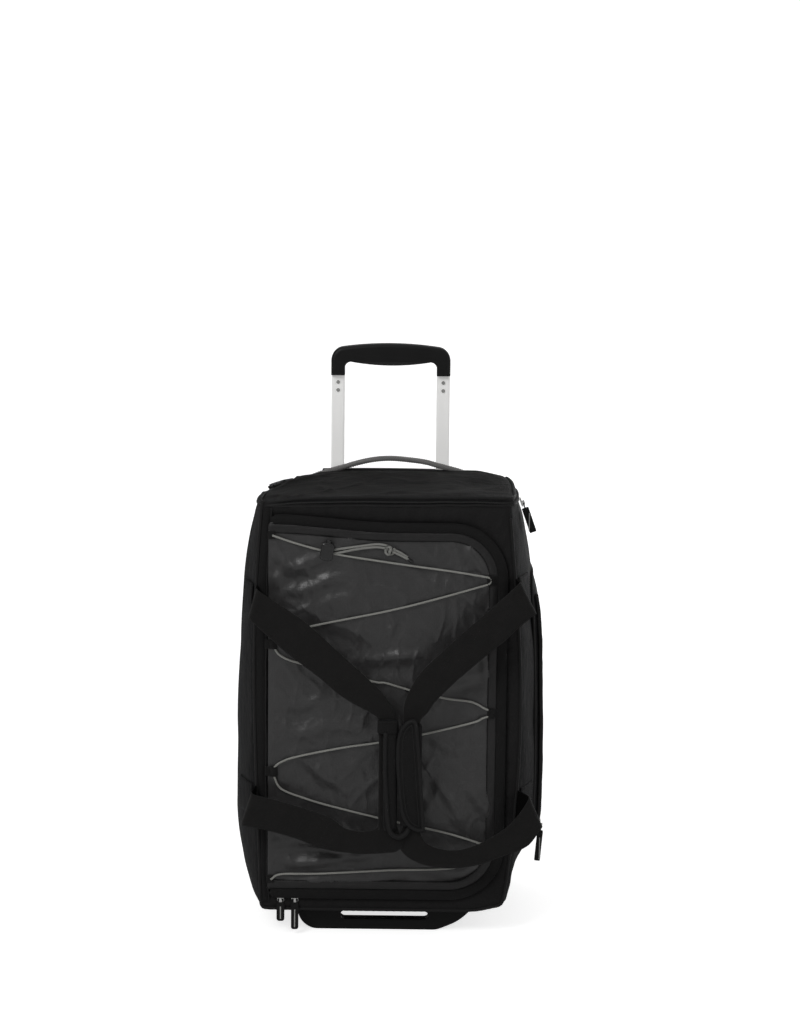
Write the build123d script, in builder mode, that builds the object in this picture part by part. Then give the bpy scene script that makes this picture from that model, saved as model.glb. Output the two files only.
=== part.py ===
"""Soft-sided trolley bag with a D-shaped front lid, two wheels and a telescopic handle.

Units are mm. The origin is the middle of the front foot's ground face, in the centre plane.
+X points right as seen from the lid side, +Y from the lid towards the wheels, +Z up.
"""
from build123d import *
import os

os.makedirs("parts", exist_ok=True)

# ---------------------------------------------------------------- driving dimensions
body_bottom = 31.0        # underside of the soft body
body_top = 527.0          # shoulder of the body, the crown rises above it
front_y = -28.0           # front frame plane
skin = 4.0                # padded fabric wall

# Body cross-sections from front to back:
# y, half width at bottom / middle / top, crown height, corner radius
stations = [
    (front_y, 151.0, 157.0, 147.0, 2.0, 18.0),
    (10.0, 158.0, 173.0, 152.0, 3.0, 20.0),
    (75.0, 165.0, 182.0, 156.0, 4.0, 24.0),
    (150.0, 162.0, 179.0, 154.0, 5.0, 24.0),
    (204.0, 150.0, 165.0, 146.0, 3.0, 22.0),
]

lid_left, lid_right = -139.0, 132.0
lid_bottom, lid_top = 55.0, 489.0
lid_mid_z = (lid_bottom + lid_top) / 2
lid_thick = 4.0
lid_back_y = -29.0
lid_front_y = lid_back_y - lid_thick
lid_radius_right = 56.0
lid_radius_left = 9.0
lid_gap = 0.8             # clearance round the lid
zip_width = 5.0

top_hinge_y = 172.0       # back end of the cut for the top flap
top_cut_z = 512.0         # plane in which the top zip runs

tube_x = 65.5             # trolley tubes, either side of the centre plane
tube_y = 192.0
tube_centres = [(-tube_x, tube_y), (tube_x, tube_y)]
outer_w, outer_d, outer_wall = 24.0, 13.2, 1.1
mid_w, mid_d, mid_wall = 20.2, 10.6, 1.0
inner_w, inner_d, inner_wall = 16.4, 8.0, 0.9

wheel_x, wheel_y, wheel_r, wheel_w = 132.0, 186.0, 32.0, 24.0
wheel_centre = (wheel_y, wheel_r)     # in a YZ plane
housing_half = 21.0       # half width of a wheel housing
housing_front, housing_back = 147.0, 216.0
housing_knee_z = 60.0     # the front face slopes back above this height
housing_slope_y = 160.0   # where the slope meets the top
housing_top = 84.0
foot_top = 30.6           # top of the front foot, just under the body


# ---------------------------------------------------------------- shared helpers
def facing_front(y):
    """Plane at y with local axes X and Z; a positive extrusion runs forwards, to -Y."""
    return Plane.XZ.offset(-y)


def save(builder, name):
    """Label the finished part and write its STEP file."""
    builder.part.label = name
    export_step(builder.part, f"parts/{name}.step")


def body_section(y, half_bottom, half_mid, half_top, crown, radius, grow):
    """One barrel-sided cross-section of the body."""
    z_low, z_high = body_bottom - grow, body_top + grow
    z_mid = (z_low + z_high) / 2
    bottom, mid, top = half_bottom + grow, half_mid + grow, half_top + grow
    with BuildSketch(facing_front(y)) as section:
        with BuildLine():
            Line((-bottom, z_low), (bottom, z_low))
            ThreePointArc((bottom, z_low), (mid, z_mid), (top, z_high))
            ThreePointArc((top, z_high), (0, z_high + crown), (-top, z_high))
            ThreePointArc((-top, z_high), (-mid, z_mid), (-bottom, z_low))
        make_face()
        fillet(section.vertices(), radius + grow)
    return section.sketch.face()


def body_block(grow=0.0, grow_ends=False):
    """Closed outer form of the bag, grown or shrunk; front and back move only on request."""
    end_shift = grow if grow_ends else 0.0
    with BuildPart(mode=Mode.PRIVATE) as block:
        sections = []
        for i, (y, *outline) in enumerate(stations):
            if i == 0:
                y -= end_shift
            elif i == len(stations) - 1:
                y += end_shift
            sections.append(body_section(y, *outline, grow))
        loft(sections)
    return block.part


def lid_outline(y, grow, left_grow=None):
    """D-shaped outline at y: nearly square on the hinge side, round on the right."""
    if left_grow is None:
        left_grow = grow
    left, right = lid_left - left_grow, lid_right + grow
    bottom, top = lid_bottom - grow, lid_top + grow
    with BuildSketch(facing_front(y)) as outline:
        with Locations(((right + left) / 2, lid_mid_z)):
            Rectangle(right - left, top - bottom)
        fillet(outline.vertices().sort_by(Axis.X)[2:], lid_radius_right + grow)
        fillet(outline.vertices().sort_by(Axis.X)[:2], lid_radius_left + grow)
    return outline.sketch


def top_zone(z, back_y):
    """Rectangle at height z over the whole width, from ahead of the bag back to back_y."""
    front_margin = 80.0
    with BuildSketch(Plane.XY.offset(z)) as zone:
        with Locations((0, (back_y - front_margin) / 2)):
            Rectangle(420, back_y + front_margin)
    return zone.sketch


def wheel_corner(sign):
    """Envelope cut from a rear corner for its wheel housing; it runs out past the body."""
    clearance = 0.1
    outward = 20.0
    half = housing_half + outward + clearance
    with BuildPart(mode=Mode.PRIVATE) as corner:
        with BuildSketch(Plane.YZ.offset(sign * (wheel_x + outward) - half)):
            with BuildLine():
                Polyline(
                    (housing_front - clearance, 18),
                    (housing_front - clearance, housing_knee_z),
                    (housing_slope_y, housing_top + clearance),
                    (housing_back + clearance, housing_top + clearance),
                    (housing_back + clearance, 30),
                    (208, 18),
                    close=True,
                )
            make_face()
        extrude(amount=2 * half)
    return corner.part


outer = body_block()
inner = body_block(-skin, grow_ends=True)

# ---------------------------------------------------------------- bag body: padded shell
tube_slot_clearance = 1.2

with BuildPart() as bag_body:
    add(outer)
    add(inner, mode=Mode.SUBTRACT)
    # front opening
    extrude(lid_outline(front_y - 12, lid_gap + zip_width), amount=-24, mode=Mode.SUBTRACT)
    # opening for the top flap
    extrude(top_zone(top_cut_z, top_hinge_y), amount=60, mode=Mode.SUBTRACT)
    # slots for the trolley tubes
    with BuildSketch(Plane.XY.offset(480)):
        with Locations(*tube_centres):
            RectangleRounded(outer_w + tube_slot_clearance, outer_d + tube_slot_clearance, 3.6)
    extrude(amount=60, mode=Mode.SUBTRACT)
    add(wheel_corner(-1), mode=Mode.SUBTRACT)
    add(wheel_corner(1), mode=Mode.SUBTRACT)
save(bag_body, "bag_body")

# ---------------------------------------------------------------- top flap and its zip
flap_gap = 0.6            # between the zip and the flap
flap_hinge_gap = 1.6
zip_hinge_gap = 8.0

with BuildPart() as top_flap:
    add(body_block(-0.2))
    add(inner, mode=Mode.SUBTRACT)
    flap_zone = top_zone(top_cut_z + zip_width + flap_gap, top_hinge_y - flap_hinge_gap)
    extrude(flap_zone, amount=60, mode=Mode.INTERSECT)
save(top_flap, "top_flap")

# band along the cut on three sides
with BuildPart() as top_zip_track:
    add(body_block(0.4, grow_ends=True))
    add(body_block(-2.6, grow_ends=True), mode=Mode.SUBTRACT)
    zip_zone = top_zone(top_cut_z + 0.1, top_hinge_y - zip_hinge_gap)
    extrude(zip_zone, amount=zip_width, mode=Mode.INTERSECT)
save(top_zip_track, "top_zip_track")

# ---------------------------------------------------------------- main zip and hinge strip
with BuildPart() as main_zip_track:
    extrude(lid_outline(front_y - 0.8, lid_gap + zip_width - 0.05), amount=-2.6)
    extrude(lid_outline(front_y - 2, lid_gap), amount=-6, mode=Mode.SUBTRACT)
    # no coil on the hinge side
    with BuildSketch(facing_front(front_y - 3)):
        with Locations((lid_left - 10, lid_mid_z)):
            Rectangle(26, 520)
    extrude(amount=-8, mode=Mode.SUBTRACT)
save(main_zip_track, "main_zip_track")

with BuildPart() as hinge_strip:
    with BuildSketch(facing_front(front_y - 0.05)):
        with Locations((lid_left - 8.6, 273)):
            RectangleRounded(11.0, 452, 2)
    extrude(amount=1.6)
save(hinge_strip, "hinge_strip")

# ---------------------------------------------------------------- main lid and storm flap
with BuildPart() as main_lid:
    extrude(lid_outline(lid_back_y, 0.0), amount=lid_thick)
    fillet(main_lid.faces().sort_by(Axis.Y)[0].edges(), 1.2)
save(main_lid, "main_lid")

lid_seat_y = lid_front_y - 0.02       # parts laid on the lid start here
storm_reach = 9.5                     # how far the flap stands out past the lid
storm_width = 11.0
storm_hinge_overrun = 12.0            # the cut-out leaves nothing on the hinge side

with BuildPart() as storm_flap:
    extrude(lid_outline(lid_seat_y, storm_reach, 0.0), amount=1.4)
    storm_cut = lid_outline(lid_front_y + 1, storm_reach - storm_width, storm_hinge_overrun)
    extrude(storm_cut, amount=4, mode=Mode.SUBTRACT)
save(storm_flap, "storm_flap")

# ---------------------------------------------------------------- cord loops on the lid
# x, z of each webbing loop: three on the right, two on the left
loop_points = [(120.0, 433.0), (122.5, 272.5), (122.0, 110.0), (-131.0, 353.0), (-130.0, 199.0)]
stitch_plate_points = [(-134.4, 480.5), (-134.4, 68.5)]

with BuildPart() as cord_loops:
    for x, z in loop_points:
        outward = 1 if x > 0 else -1
        with BuildSketch(facing_front(lid_seat_y)):
            with Locations((x + outward * 0.8, z)):
                RectangleRounded(13.0, 13.0, 1.5)
        extrude(amount=8.0)
        # tunnel for the cord, open towards the middle of the lid
        with BuildSketch(facing_front(lid_front_y - 1.4)):
            with Locations((x - outward * 1.7, z)):
                Rectangle(14.0, 20.0)
        extrude(amount=5.4, mode=Mode.SUBTRACT)
    # stitch plates at the cord ends
    with BuildSketch(facing_front(lid_seat_y)):
        with Locations(*stitch_plate_points):
            RectangleRounded(7.0, 11.0, 1.2)
    extrude(amount=2.2)
save(cord_loops, "cord_loops")

# ---------------------------------------------------------------- elastic cord
cord_y = -37.4
cord_radius = 1.5
# x, z of the zigzag over the lid, from top to bottom
cord_points = [
    (-130.6, 480.0), (-77.9, 466.0), (20.5, 449.7), (118.5, 436.2), (118.5, 429.2),
    (52.9, 408.2), (-0.8, 394.5), (-93.2, 374.4), (-129.0, 357.0), (-129.0, 349.5),
    (-101.2, 331.3), (-18.1, 311.4), (71.3, 291.1), (121.0, 276.5), (121.0, 269.0),
    (37.7, 246.4), (-51.7, 230.5), (-104.3, 219.0), (-128.5, 203.0), (-128.5, 195.0),
    (-96.2, 169.1), (1.8, 143.9), (78.7, 126.8), (120.0, 114.0), (120.0, 106.5),
    (84.4, 86.2), (2.4, 81.8), (-122.4, 75.4), (-130.6, 70.5),
]
with BuildPart() as bungee_cord:
    with BuildLine(facing_front(cord_y)) as cord_path:
        FilletPolyline(*cord_points, radius=3.2)
    with BuildSketch(Plane(origin=cord_path.line @ 0, z_dir=cord_path.line % 0)):
        Circle(cord_radius)
    sweep()
save(bungee_cord, "bungee_cord")

# knotted tail of the cord
tail_y = -40.6
tail_radius = 1.4
tail_points = [(-36.4, 470.2), (-14.3, 472.2), (0.0, 471.0), (24.0, 460.0)]   # x, z
with BuildPart() as cord_knot:
    with BuildLine(facing_front(tail_y)) as tail_path:
        FilletPolyline(*tail_points, radius=3)
    with BuildSketch(Plane(origin=tail_path.line @ 0, z_dir=tail_path.line % 0)):
        Circle(tail_radius)
    sweep()
    # the knot itself
    with BuildSketch(facing_front(-37.0)):
        with Locations(Location((2.0, 466.4), 20)):
            RectangleRounded(9, 11, 3.5)
    extrude(amount=6.4)
    fillet(cord_knot.faces().filter_by(Axis.Y).sort_by(Axis.Y)[0].edges(), 1.0)
save(cord_knot, "cord_knot")

# ---------------------------------------------------------------- cord lock
# Barrel with a slot for the cord; the plunger stands in a well in its top.
slot_dir = (0.986, 0, -0.165)         # direction of the cord at the lock
lock_plane = Plane(origin=(-70.0, cord_y - 1.0, 464.8), x_dir=slot_dir, z_dir=(0, -1, 0))


def plunger_plane(rise):
    """Plane square to the plunger, a given rise above the middle of the lock."""
    origin = lock_plane.origin + lock_plane.y_dir * rise + Vector(0, -1.9, 0)
    return Plane(origin=origin, x_dir=(1, 0, 0), z_dir=lock_plane.y_dir)


with BuildPart() as cord_lock_barrel:
    with BuildSketch(lock_plane.offset(-3.0)):
        RectangleRounded(15.5, 21.0, 5.0)
    extrude(amount=10.0)
    fillet(cord_lock_barrel.faces().sort_by(Axis.Y)[0].edges(), 1.8)
    slot_origin = lock_plane.origin + Vector(0, 1.0, 0)
    with BuildSketch(Plane(origin=slot_origin, x_dir=(0, 1, 0), z_dir=slot_dir)):
        RectangleRounded(4.0, 11.0, 1.8)
    extrude(amount=20, both=True, mode=Mode.SUBTRACT)
    # well for the plunger
    with BuildSketch(plunger_plane(5.9)):
        Circle(3.3)
    extrude(amount=10, mode=Mode.SUBTRACT)
save(cord_lock_barrel, "cord_lock_barrel")

with BuildPart() as cord_lock_plunger:
    with BuildSketch(plunger_plane(8.6)):
        Circle(3.2)
    extrude(amount=5.2)
    fillet(cord_lock_plunger.faces().sort_by(Axis.Z)[-1].edges(), 0.9)
save(cord_lock_plunger, "cord_lock_plunger")

# ---------------------------------------------------------------- carry handles
# Each handle is one loop of webbing: two arms from the side of the bag and an upright
# run between them that carries the grip.
strap_y = -70.0           # front plane of the webbing
strap_thick = 2.0

# Arm outlines as x, z. The first two points are the bottom and top of the outer end.
left_arms = [
    [(-161.0, 387.5), (-161.0, 422.0), (-150.0, 422.6), (-91.0, 378.8), (-36.1, 334.4),
     (-12.6, 316.9), (8.6, 287.3), (12.0, 268.0), (-8.0, 268.0), (-20.5, 276.3),
     (-46.2, 284.3), (-77.9, 309.0), (-101.3, 339.6), (-142.8, 370.6)],
    [(-161.0, 142.0), (-161.0, 178.0), (-134.7, 173.3), (-71.4, 155.2), (-50.4, 143.0),
     (-26.7, 136.0), (-8.0, 140.0), (12.0, 140.0), (12.0, 110.6), (-23.8, 107.1),
     (-63.9, 110.9), (-102.8, 122.5), (-142.3, 134.2)],
]
right_arms = [
    [(172.0, 398.4), (172.0, 434.7), (154.9, 434.7), (132.8, 413.2), (93.3, 380.9),
     (42.1, 319.9), (26.8, 293.5), (21.6, 270.0), (41.0, 270.0), (44.9, 283.0),
     (68.1, 296.4), (94.1, 322.9), (130.1, 357.7)],
    [(172.0, 140.7), (172.0, 174.1), (166.0, 171.0), (146.4, 141.6), (112.6, 122.7),
     (80.9, 118.0), (49.0, 126.0), (41.0, 140.0), (21.6, 140.0), (21.6, 101.0),
     (68.2, 93.4), (107.7, 93.9), (144.6, 103.7), (165.0, 119.0)],
]


def side_leg(sign, fold_x, root_x, root_y, z_low, z_high):
    """Webbing between the fold at the arm's end and the side panel, drawn from above."""
    with BuildSketch(Plane.XY.offset(z_low)) as leg:
        with BuildLine():
            Polyline(
                (fold_x, strap_y),
                (fold_x + sign * strap_thick, strap_y),
                (root_x + sign * strap_thick, root_y),
                (root_x, root_y),
                close=True,
            )
        make_face()
    extrude(leg.sketch, amount=z_high - z_low)


def carry_strap(name, sign, arms, run_centre, run_length, root_x, root_y):
    fold_overlap = 1.0    # the leg starts this far inside the arm's end
    with BuildPart() as strap:
        for arm in arms:
            with BuildSketch(facing_front(strap_y)):
                with BuildLine():
                    Polyline(*arm, close=True)
                make_face()
            extrude(amount=-strap_thick)
        with BuildSketch(facing_front(strap_y)):
            with Locations(run_centre):
                Rectangle(18.0, run_length)
        extrude(amount=-strap_thick)
        for arm in arms:
            (end_x, z_low), (_, z_high) = arm[:2]
            side_leg(sign, end_x - sign * fold_overlap, root_x, root_y, z_low, z_high)
    save(strap, name)


carry_strap("carry_strap_left", -1, left_arms, run_centre=(2.0, 204), run_length=132,
            root_x=-176.0, root_y=-5.0)
carry_strap("carry_strap_right", 1, right_arms, run_centre=(31.0, 205), run_length=134,
            root_x=186.0, root_y=7.0)


def grip_pad(name, centre, width, length, front_reach, depth, slot_centre, slot_width):
    """Padded sleeve round the upright run of a handle."""
    with BuildPart() as pad:
        with BuildSketch(facing_front(strap_y - front_reach)):
            with Locations(centre):
                RectangleRounded(width, length, 6)
        extrude(amount=-depth)
        fillet(pad.edges().filter_by(Axis.Z), 3.5)
        # slot for the webbing
        with BuildSketch(facing_front(strap_y - 0.1)):
            with Locations(slot_centre):
                Rectangle(slot_width, 150)
        extrude(amount=-strap_thick - 0.2, mode=Mode.SUBTRACT)
    save(pad, name)


grip_pad("grip_pad_left", centre=(2.3, 204.0), width=24.4, length=127.6, front_reach=7.0,
         depth=14.0, slot_centre=(2.0, 204.0), slot_width=20.4)
grip_pad("grip_pad_right", centre=(30.6, 206.0), width=26.0, length=124.0, front_reach=6.0,
         depth=13.0, slot_centre=(31.0, 206.0), slot_width=18.3)

# flap lying in front of the right grip
with BuildPart() as grip_wrap_flap:
    with BuildSketch(facing_front(strap_y - 7.2)) as wrap_sketch:
        with Locations((31.2, 206.5)):
            Rectangle(32.4, 134.0)
        fillet(wrap_sketch.vertices().sort_by(Axis.X)[:2], 11)
        fillet(wrap_sketch.vertices().sort_by(Axis.X)[-2:], 4)
    extrude(amount=3.2)
    fillet(grip_wrap_flap.faces().sort_by(Axis.Y)[0].edges(), 1.2)
save(grip_wrap_flap, "grip_wrap_flap")

# anchors of the handles on the side panels
with BuildPart() as strap_anchors:
    add(body_block(3.4))
    add(outer, mode=Mode.SUBTRACT)
    with BuildSketch(Plane.YZ.offset(-220)):
        with Locations((16, 404.8), (16, 160)):
            RectangleRounded(34, 36, 2)
    with BuildSketch(Plane.YZ.offset(220)):
        with Locations((22, 416.5), (22, 157.4)):
            RectangleRounded(24, 36, 2)
    extrude(amount=110, both=True, mode=Mode.INTERSECT)
save(strap_anchors, "strap_anchors")

# ---------------------------------------------------------------- pocket on the right panel
pocket_grow = 9.0         # how far the pocket stands out from the body
side_cut_x = 100          # outlines start here and run outwards
side_cut_depth = 120

with BuildPart() as side_pocket:
    add(body_block(pocket_grow))
    add(outer, mode=Mode.SUBTRACT)
    with BuildSketch(Plane.YZ.offset(side_cut_x)) as pocket_sketch:
        with Locations((96, 261.0)):
            Rectangle(120, 330)
        # sketch axis Y is up here: large radius at the top, small at the bottom
        fillet(pocket_sketch.vertices().sort_by(Axis.Y)[-2:], 42)
        fillet(pocket_sketch.vertices().sort_by(Axis.Y)[:2], 12)
    extrude(amount=side_cut_depth, mode=Mode.INTERSECT)
save(side_pocket, "side_pocket")

with BuildPart() as side_zip_track:
    add(body_block(pocket_grow + 1.6))
    add(body_block(pocket_grow + 0.02), mode=Mode.SUBTRACT)
    with BuildSketch(Plane.YZ.offset(side_cut_x)):
        with Locations((46, 257.0)):
            RectangleRounded(5.5, 290, 2)
    extrude(amount=side_cut_depth, mode=Mode.INTERSECT)
save(side_zip_track, "side_zip_track")

# ---------------------------------------------------------------- back tray and inner boards
rib_z = 285
rib_xs = (-92, -31, 31, 92)

with BuildPart() as back_tray:
    with BuildSketch(facing_front(204.1)):
        with Locations((0, 288)):
            RectangleRounded(264, 394, 26)
    extrude(amount=-4.4)
    # upright ribs on the outer face
    with BuildSketch(facing_front(208.4)):
        with Locations(*[(x, rib_z) for x in rib_xs]):
            SlotOverall(330, 9, rotation=90)
    extrude(amount=-2.2)
    fillet(back_tray.faces().sort_by(Axis.Y)[-4:].edges(), 0.9)
save(back_tray, "back_tray")


def board(name, plane, centre, width, length, radius, amount):
    """Flat board with rounded corners."""
    with BuildPart() as plate:
        with BuildSketch(plane):
            with Locations(centre):
                RectangleRounded(width, length, radius)
        extrude(amount=amount)
    save(plate, name)


board("base_board", Plane.XY.offset(body_bottom + skin + 0.4), centre=(0, 62),
      width=240, length=156, radius=12, amount=3.0)
board("back_lining", facing_front(180.0), centre=(0, 280),
      width=284, length=376, radius=12, amount=-2.0)
board("top_pocket_floor", Plane.XY.offset(478.0), centre=(0, 78),
      width=280, length=190, radius=14, amount=2.0)

# ---------------------------------------------------------------- front foot
foot_half = 104
flange_thick = 3.2
foot_screw_points = [(-80, 15.5), (80, 15.5), (-30, 15.5), (30, 15.5)]

with BuildPart() as front_foot:
    with BuildSketch(facing_front(-8.5)):
        with BuildLine():
            Line((-79, 0), (58, 0))
            Spline((58, 0), (71, 3.2), (86, 10), (98.5, 19.5), (foot_half, 27.5),
                   tangents=((1, 0), (0.35, 1)))
            Line((foot_half, 27.5), (foot_half, foot_top))
            Line((foot_half, foot_top), (-foot_half, foot_top))
            Line((-foot_half, foot_top), (-foot_half, 24))
            ThreePointArc((-foot_half, 24), (-96.8, 7.2), (-79, 0))
        make_face()
        with Locations((0, 17.2)):
            SlotOverall(106, 10.5, mode=Mode.SUBTRACT)
    extrude(amount=-17)
    # mounting flange under the base
    with BuildSketch(Plane.XY.offset(foot_top - flange_thick)):
        with Locations((0, 4)):
            RectangleRounded(216, 34, 6)
    extrude(amount=flange_thick)
    # screw holes
    with BuildSketch(Plane.XY.offset(26)):
        with Locations(*foot_screw_points):
            Circle(2.1)
    extrude(amount=6, mode=Mode.SUBTRACT)
save(front_foot, "front_foot")


def pan_screw(x, y):
    """Pan-head screw, head down, with a hexagonal socket through the head."""
    seat_z = 27.35        # under the flange
    with BuildSketch(Plane.XY.offset(seat_z)) as shank:
        with Locations((x, y)):
            Circle(2.0)
    extrude(shank.sketch, amount=3.4)
    with BuildSketch(Plane.XY.offset(seat_z)) as head:
        with Locations((x, y)):
            Circle(3.6)
            RegularPolygon(1.4, 6, mode=Mode.SUBTRACT)
    extrude(head.sketch, amount=-1.8)


with BuildPart() as foot_screws:
    for x, y in foot_screw_points:
        pan_screw(x, y)
save(foot_screws, "foot_screws")

# ---------------------------------------------------------------- wheels and housings
rim_radius = wheel_r - 7  # tyre inside, hub outside
arch_radius = wheel_r + 4.0
arch_half = 13.5          # half width of the wheel arch
bearing_radius = 8.0
axle_radius = 4.0
hub_inset = 1.0           # hub faces behind the tyre faces
dish_depth = 6
bearing_inset = 1.2
bearing_width = 5
axle_half = 20.9


def wheel_housing(centre_x, outer_index, side):
    """Corner cup with an arch for the wheel and two cheeks for the axle."""
    with BuildPart() as housing:
        with BuildSketch(Plane.YZ.offset(centre_x - housing_half)):
            with BuildLine():
                Polyline(
                    (housing_front, foot_top),
                    (housing_front, housing_knee_z),
                    (housing_slope_y, housing_top),
                    (housing_back, housing_top),
                    (housing_back, 30),
                    (208, 20),
                    (164, 20),
                    (158, foot_top),
                    close=True,
                )
            make_face()
        extrude(amount=2 * housing_half)
        fillet(housing.faces().sort_by(Axis.X)[outer_index].edges(), 4.0)
        # arch: round above the wheel, open to the ground
        with BuildSketch(Plane.YZ.offset(centre_x - arch_half)):
            with Locations(wheel_centre):
                Circle(arch_radius)
        extrude(amount=2 * arch_half, mode=Mode.SUBTRACT)
        with BuildSketch(Plane.YZ.offset(centre_x - arch_half)):
            with Locations((wheel_y, wheel_r - 30)):
                Rectangle(2 * arch_radius, 60)
        extrude(amount=2 * arch_half, mode=Mode.SUBTRACT)
        # axle bore
        with BuildSketch(Plane.YZ.offset(centre_x - 30)):
            with Locations(wheel_centre):
                Circle(axle_radius + 0.02)
        extrude(amount=60, mode=Mode.SUBTRACT)
    save(housing, f"wheel_housing_{side}")


def wheel_tyre(centre_x, side):
    with BuildPart() as tyre:
        with BuildSketch(Plane.YZ.offset(centre_x - wheel_w / 2)):
            with Locations(wheel_centre):
                Circle(wheel_r)
                Circle(rim_radius, mode=Mode.SUBTRACT)
        extrude(amount=wheel_w)
        fillet(tyre.edges().filter_by(GeomType.CIRCLE).sort_by(SortBy.RADIUS)[-2:], 4.5)
    save(tyre, f"tyre_{side}")


def wheel_hub(centre_x, side):
    hub_start = centre_x - wheel_w / 2 + hub_inset
    hub_end = centre_x + wheel_w / 2 - hub_inset
    with BuildPart() as hub:
        with BuildSketch(Plane.YZ.offset(hub_start)):
            with Locations(wheel_centre):
                Circle(rim_radius)
                Circle(bearing_radius, mode=Mode.SUBTRACT)
        extrude(amount=wheel_w - 2 * hub_inset)
        # dished faces between rim and boss
        for dish_x in (hub_start, hub_end - dish_depth):
            with BuildSketch(Plane.YZ.offset(dish_x)):
                with Locations(wheel_centre):
                    Circle(wheel_r - 10)
                    Circle(11.0, mode=Mode.SUBTRACT)
            extrude(amount=dish_depth, mode=Mode.SUBTRACT)
        # ring of six holes
        with BuildSketch(Plane.YZ.offset(centre_x - wheel_w / 2)):
            with Locations(wheel_centre):
                with PolarLocations(16.5, 6):
                    Circle(3.2)
        extrude(amount=wheel_w, mode=Mode.SUBTRACT)
    save(hub, f"hub_{side}")


def wheel_bearings(centre_x, side):
    first_x = centre_x - wheel_w / 2 + bearing_inset
    second_x = centre_x + wheel_w / 2 - bearing_inset - bearing_width
    with BuildPart() as bearings:
        for bearing_x in (first_x, second_x):
            with BuildSketch(Plane.YZ.offset(bearing_x)):
                with Locations(wheel_centre):
                    Circle(bearing_radius)
                    Circle(axle_radius + 0.05, mode=Mode.SUBTRACT)
            extrude(amount=bearing_width)
    save(bearings, f"bearings_{side}")


def wheel_axle(sign, centre_x, outer_index, side):
    """Pin with a head and a hexagonal recess on the outer side."""
    head_thick = 3.0
    head_gap = 0.1        # between housing and head
    head_x = centre_x + sign * (housing_half + head_gap)
    if sign < 0:
        head_x -= head_thick
    with BuildPart() as axle:
        with BuildSketch(Plane.YZ.offset(centre_x - axle_half)):
            with Locations(wheel_centre):
                Circle(axle_radius)
        extrude(amount=2 * axle_half + 1.0)
        with BuildSketch(Plane.YZ.offset(head_x)):
            with Locations(wheel_centre):
                Circle(6.5)
        extrude(amount=head_thick)
        if sign < 0:
            # join the pin to the head on the left and trim its inner end
            with BuildSketch(Plane.YZ.offset(centre_x - 22)):
                with Locations(wheel_centre):
                    Circle(axle_radius)
            extrude(amount=2.0)
            with BuildSketch(Plane.YZ.offset(centre_x + axle_half)):
                with Locations(wheel_centre):
                    Circle(5.0)
            extrude(amount=2.0, mode=Mode.SUBTRACT)
        outer_face = axle.faces().sort_by(Axis.X)[outer_index]
        fillet(outer_face.edges(), 1.0)
        with BuildSketch(Plane.YZ.offset(outer_face.center().X - 0.9)):
            with Locations(wheel_centre):
                RegularPolygon(2.5, 6)
        extrude(amount=1.8, mode=Mode.SUBTRACT)
    save(axle, f"axle_{side}")


# outer_index picks the outermost face from a list sorted along X
for sign, outer_index, side in ((-1, 0, "left"), (1, -1, "right")):
    centre_x = sign * wheel_x
    wheel_housing(centre_x, outer_index, side)
    wheel_tyre(centre_x, side)
    wheel_hub(centre_x, side)
    wheel_bearings(centre_x, side)
    wheel_axle(sign, centre_x, outer_index, side)


# ---------------------------------------------------------------- trolley tubes
def tube(x, width, depth, wall, radius, z_low, z_high):
    with BuildSketch(Plane.XY.offset(z_low)) as ring:
        with Locations((x, tube_y)):
            RectangleRounded(width, depth, radius)
            RectangleRounded(width - 2 * wall, depth - 2 * wall, radius - wall,
                             mode=Mode.SUBTRACT)
    extrude(ring.sketch, amount=z_high - z_low)


# name, width, depth, wall, corner radius, bottom, top
tube_stages = [
    ("outer_tubes", outer_w, outer_d, outer_wall, 3.2, 62.0, 512.0),
    ("mid_tubes", mid_w, mid_d, mid_wall, 2.8, 180.0, 514.0),
    ("inner_tubes", inner_w, inner_d, inner_wall, 2.2, 330.0, 652.0),
]
for name, *stage in tube_stages:
    with BuildPart() as tubes:
        for x in (-tube_x, tube_x):
            tube(x, *stage)
    save(tubes, name)

slide_clearance = 0.3     # of guides and blocks inside the next larger tube

# hollow shoes just below the mid tubes
with BuildPart() as stage_guides:
    for x in (-tube_x, tube_x):
        with BuildSketch(Plane.XY.offset(166.0)):
            with Locations((x, tube_y)):
                RectangleRounded(outer_w - 2 * outer_wall - slide_clearance,
                                 outer_d - 2 * outer_wall - slide_clearance, 1.9)
        extrude(amount=13.9)
        with BuildSketch(Plane.XY.offset(160.0)):
            with Locations((x, tube_y)):
                RectangleRounded(mid_w - 2.6, mid_d - 2.6, 1.2)
        extrude(amount=40, mode=Mode.SUBTRACT)
save(stage_guides, "mid_stage_guides")

# blocks just below the inner tubes, bored for the release rods
with BuildPart() as lock_blocks:
    for x in (-tube_x, tube_x):
        with BuildSketch(Plane.XY.offset(312.0)):
            with Locations((x, tube_y)):
                RectangleRounded(mid_w - 2 * mid_wall - slide_clearance,
                                 mid_d - 2 * mid_wall - slide_clearance, 1.5)
        extrude(amount=17.9)
        with BuildSketch(Plane.XY.offset(310.0)):
            with Locations((x, tube_y)):
                Circle(2.1)
        extrude(amount=30, mode=Mode.SUBTRACT)
save(lock_blocks, "lock_blocks")

# slotted bar across the bag, just below the outer tubes
with BuildPart() as tube_bracket:
    with BuildSketch(Plane.XY.offset(48.0)):
        with Locations((0, tube_y)):
            RectangleRounded(2 * tube_x + 34, outer_d, 5)
    extrude(amount=13.9)
    with BuildSketch(Plane.XY.offset(46.0)):
        with Locations((-40, tube_y), (0, tube_y), (40, tube_y)):
            SlotOverall(30, 7)
    extrude(amount=20, mode=Mode.SUBTRACT)
save(tube_bracket, "tube_bracket")

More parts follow.
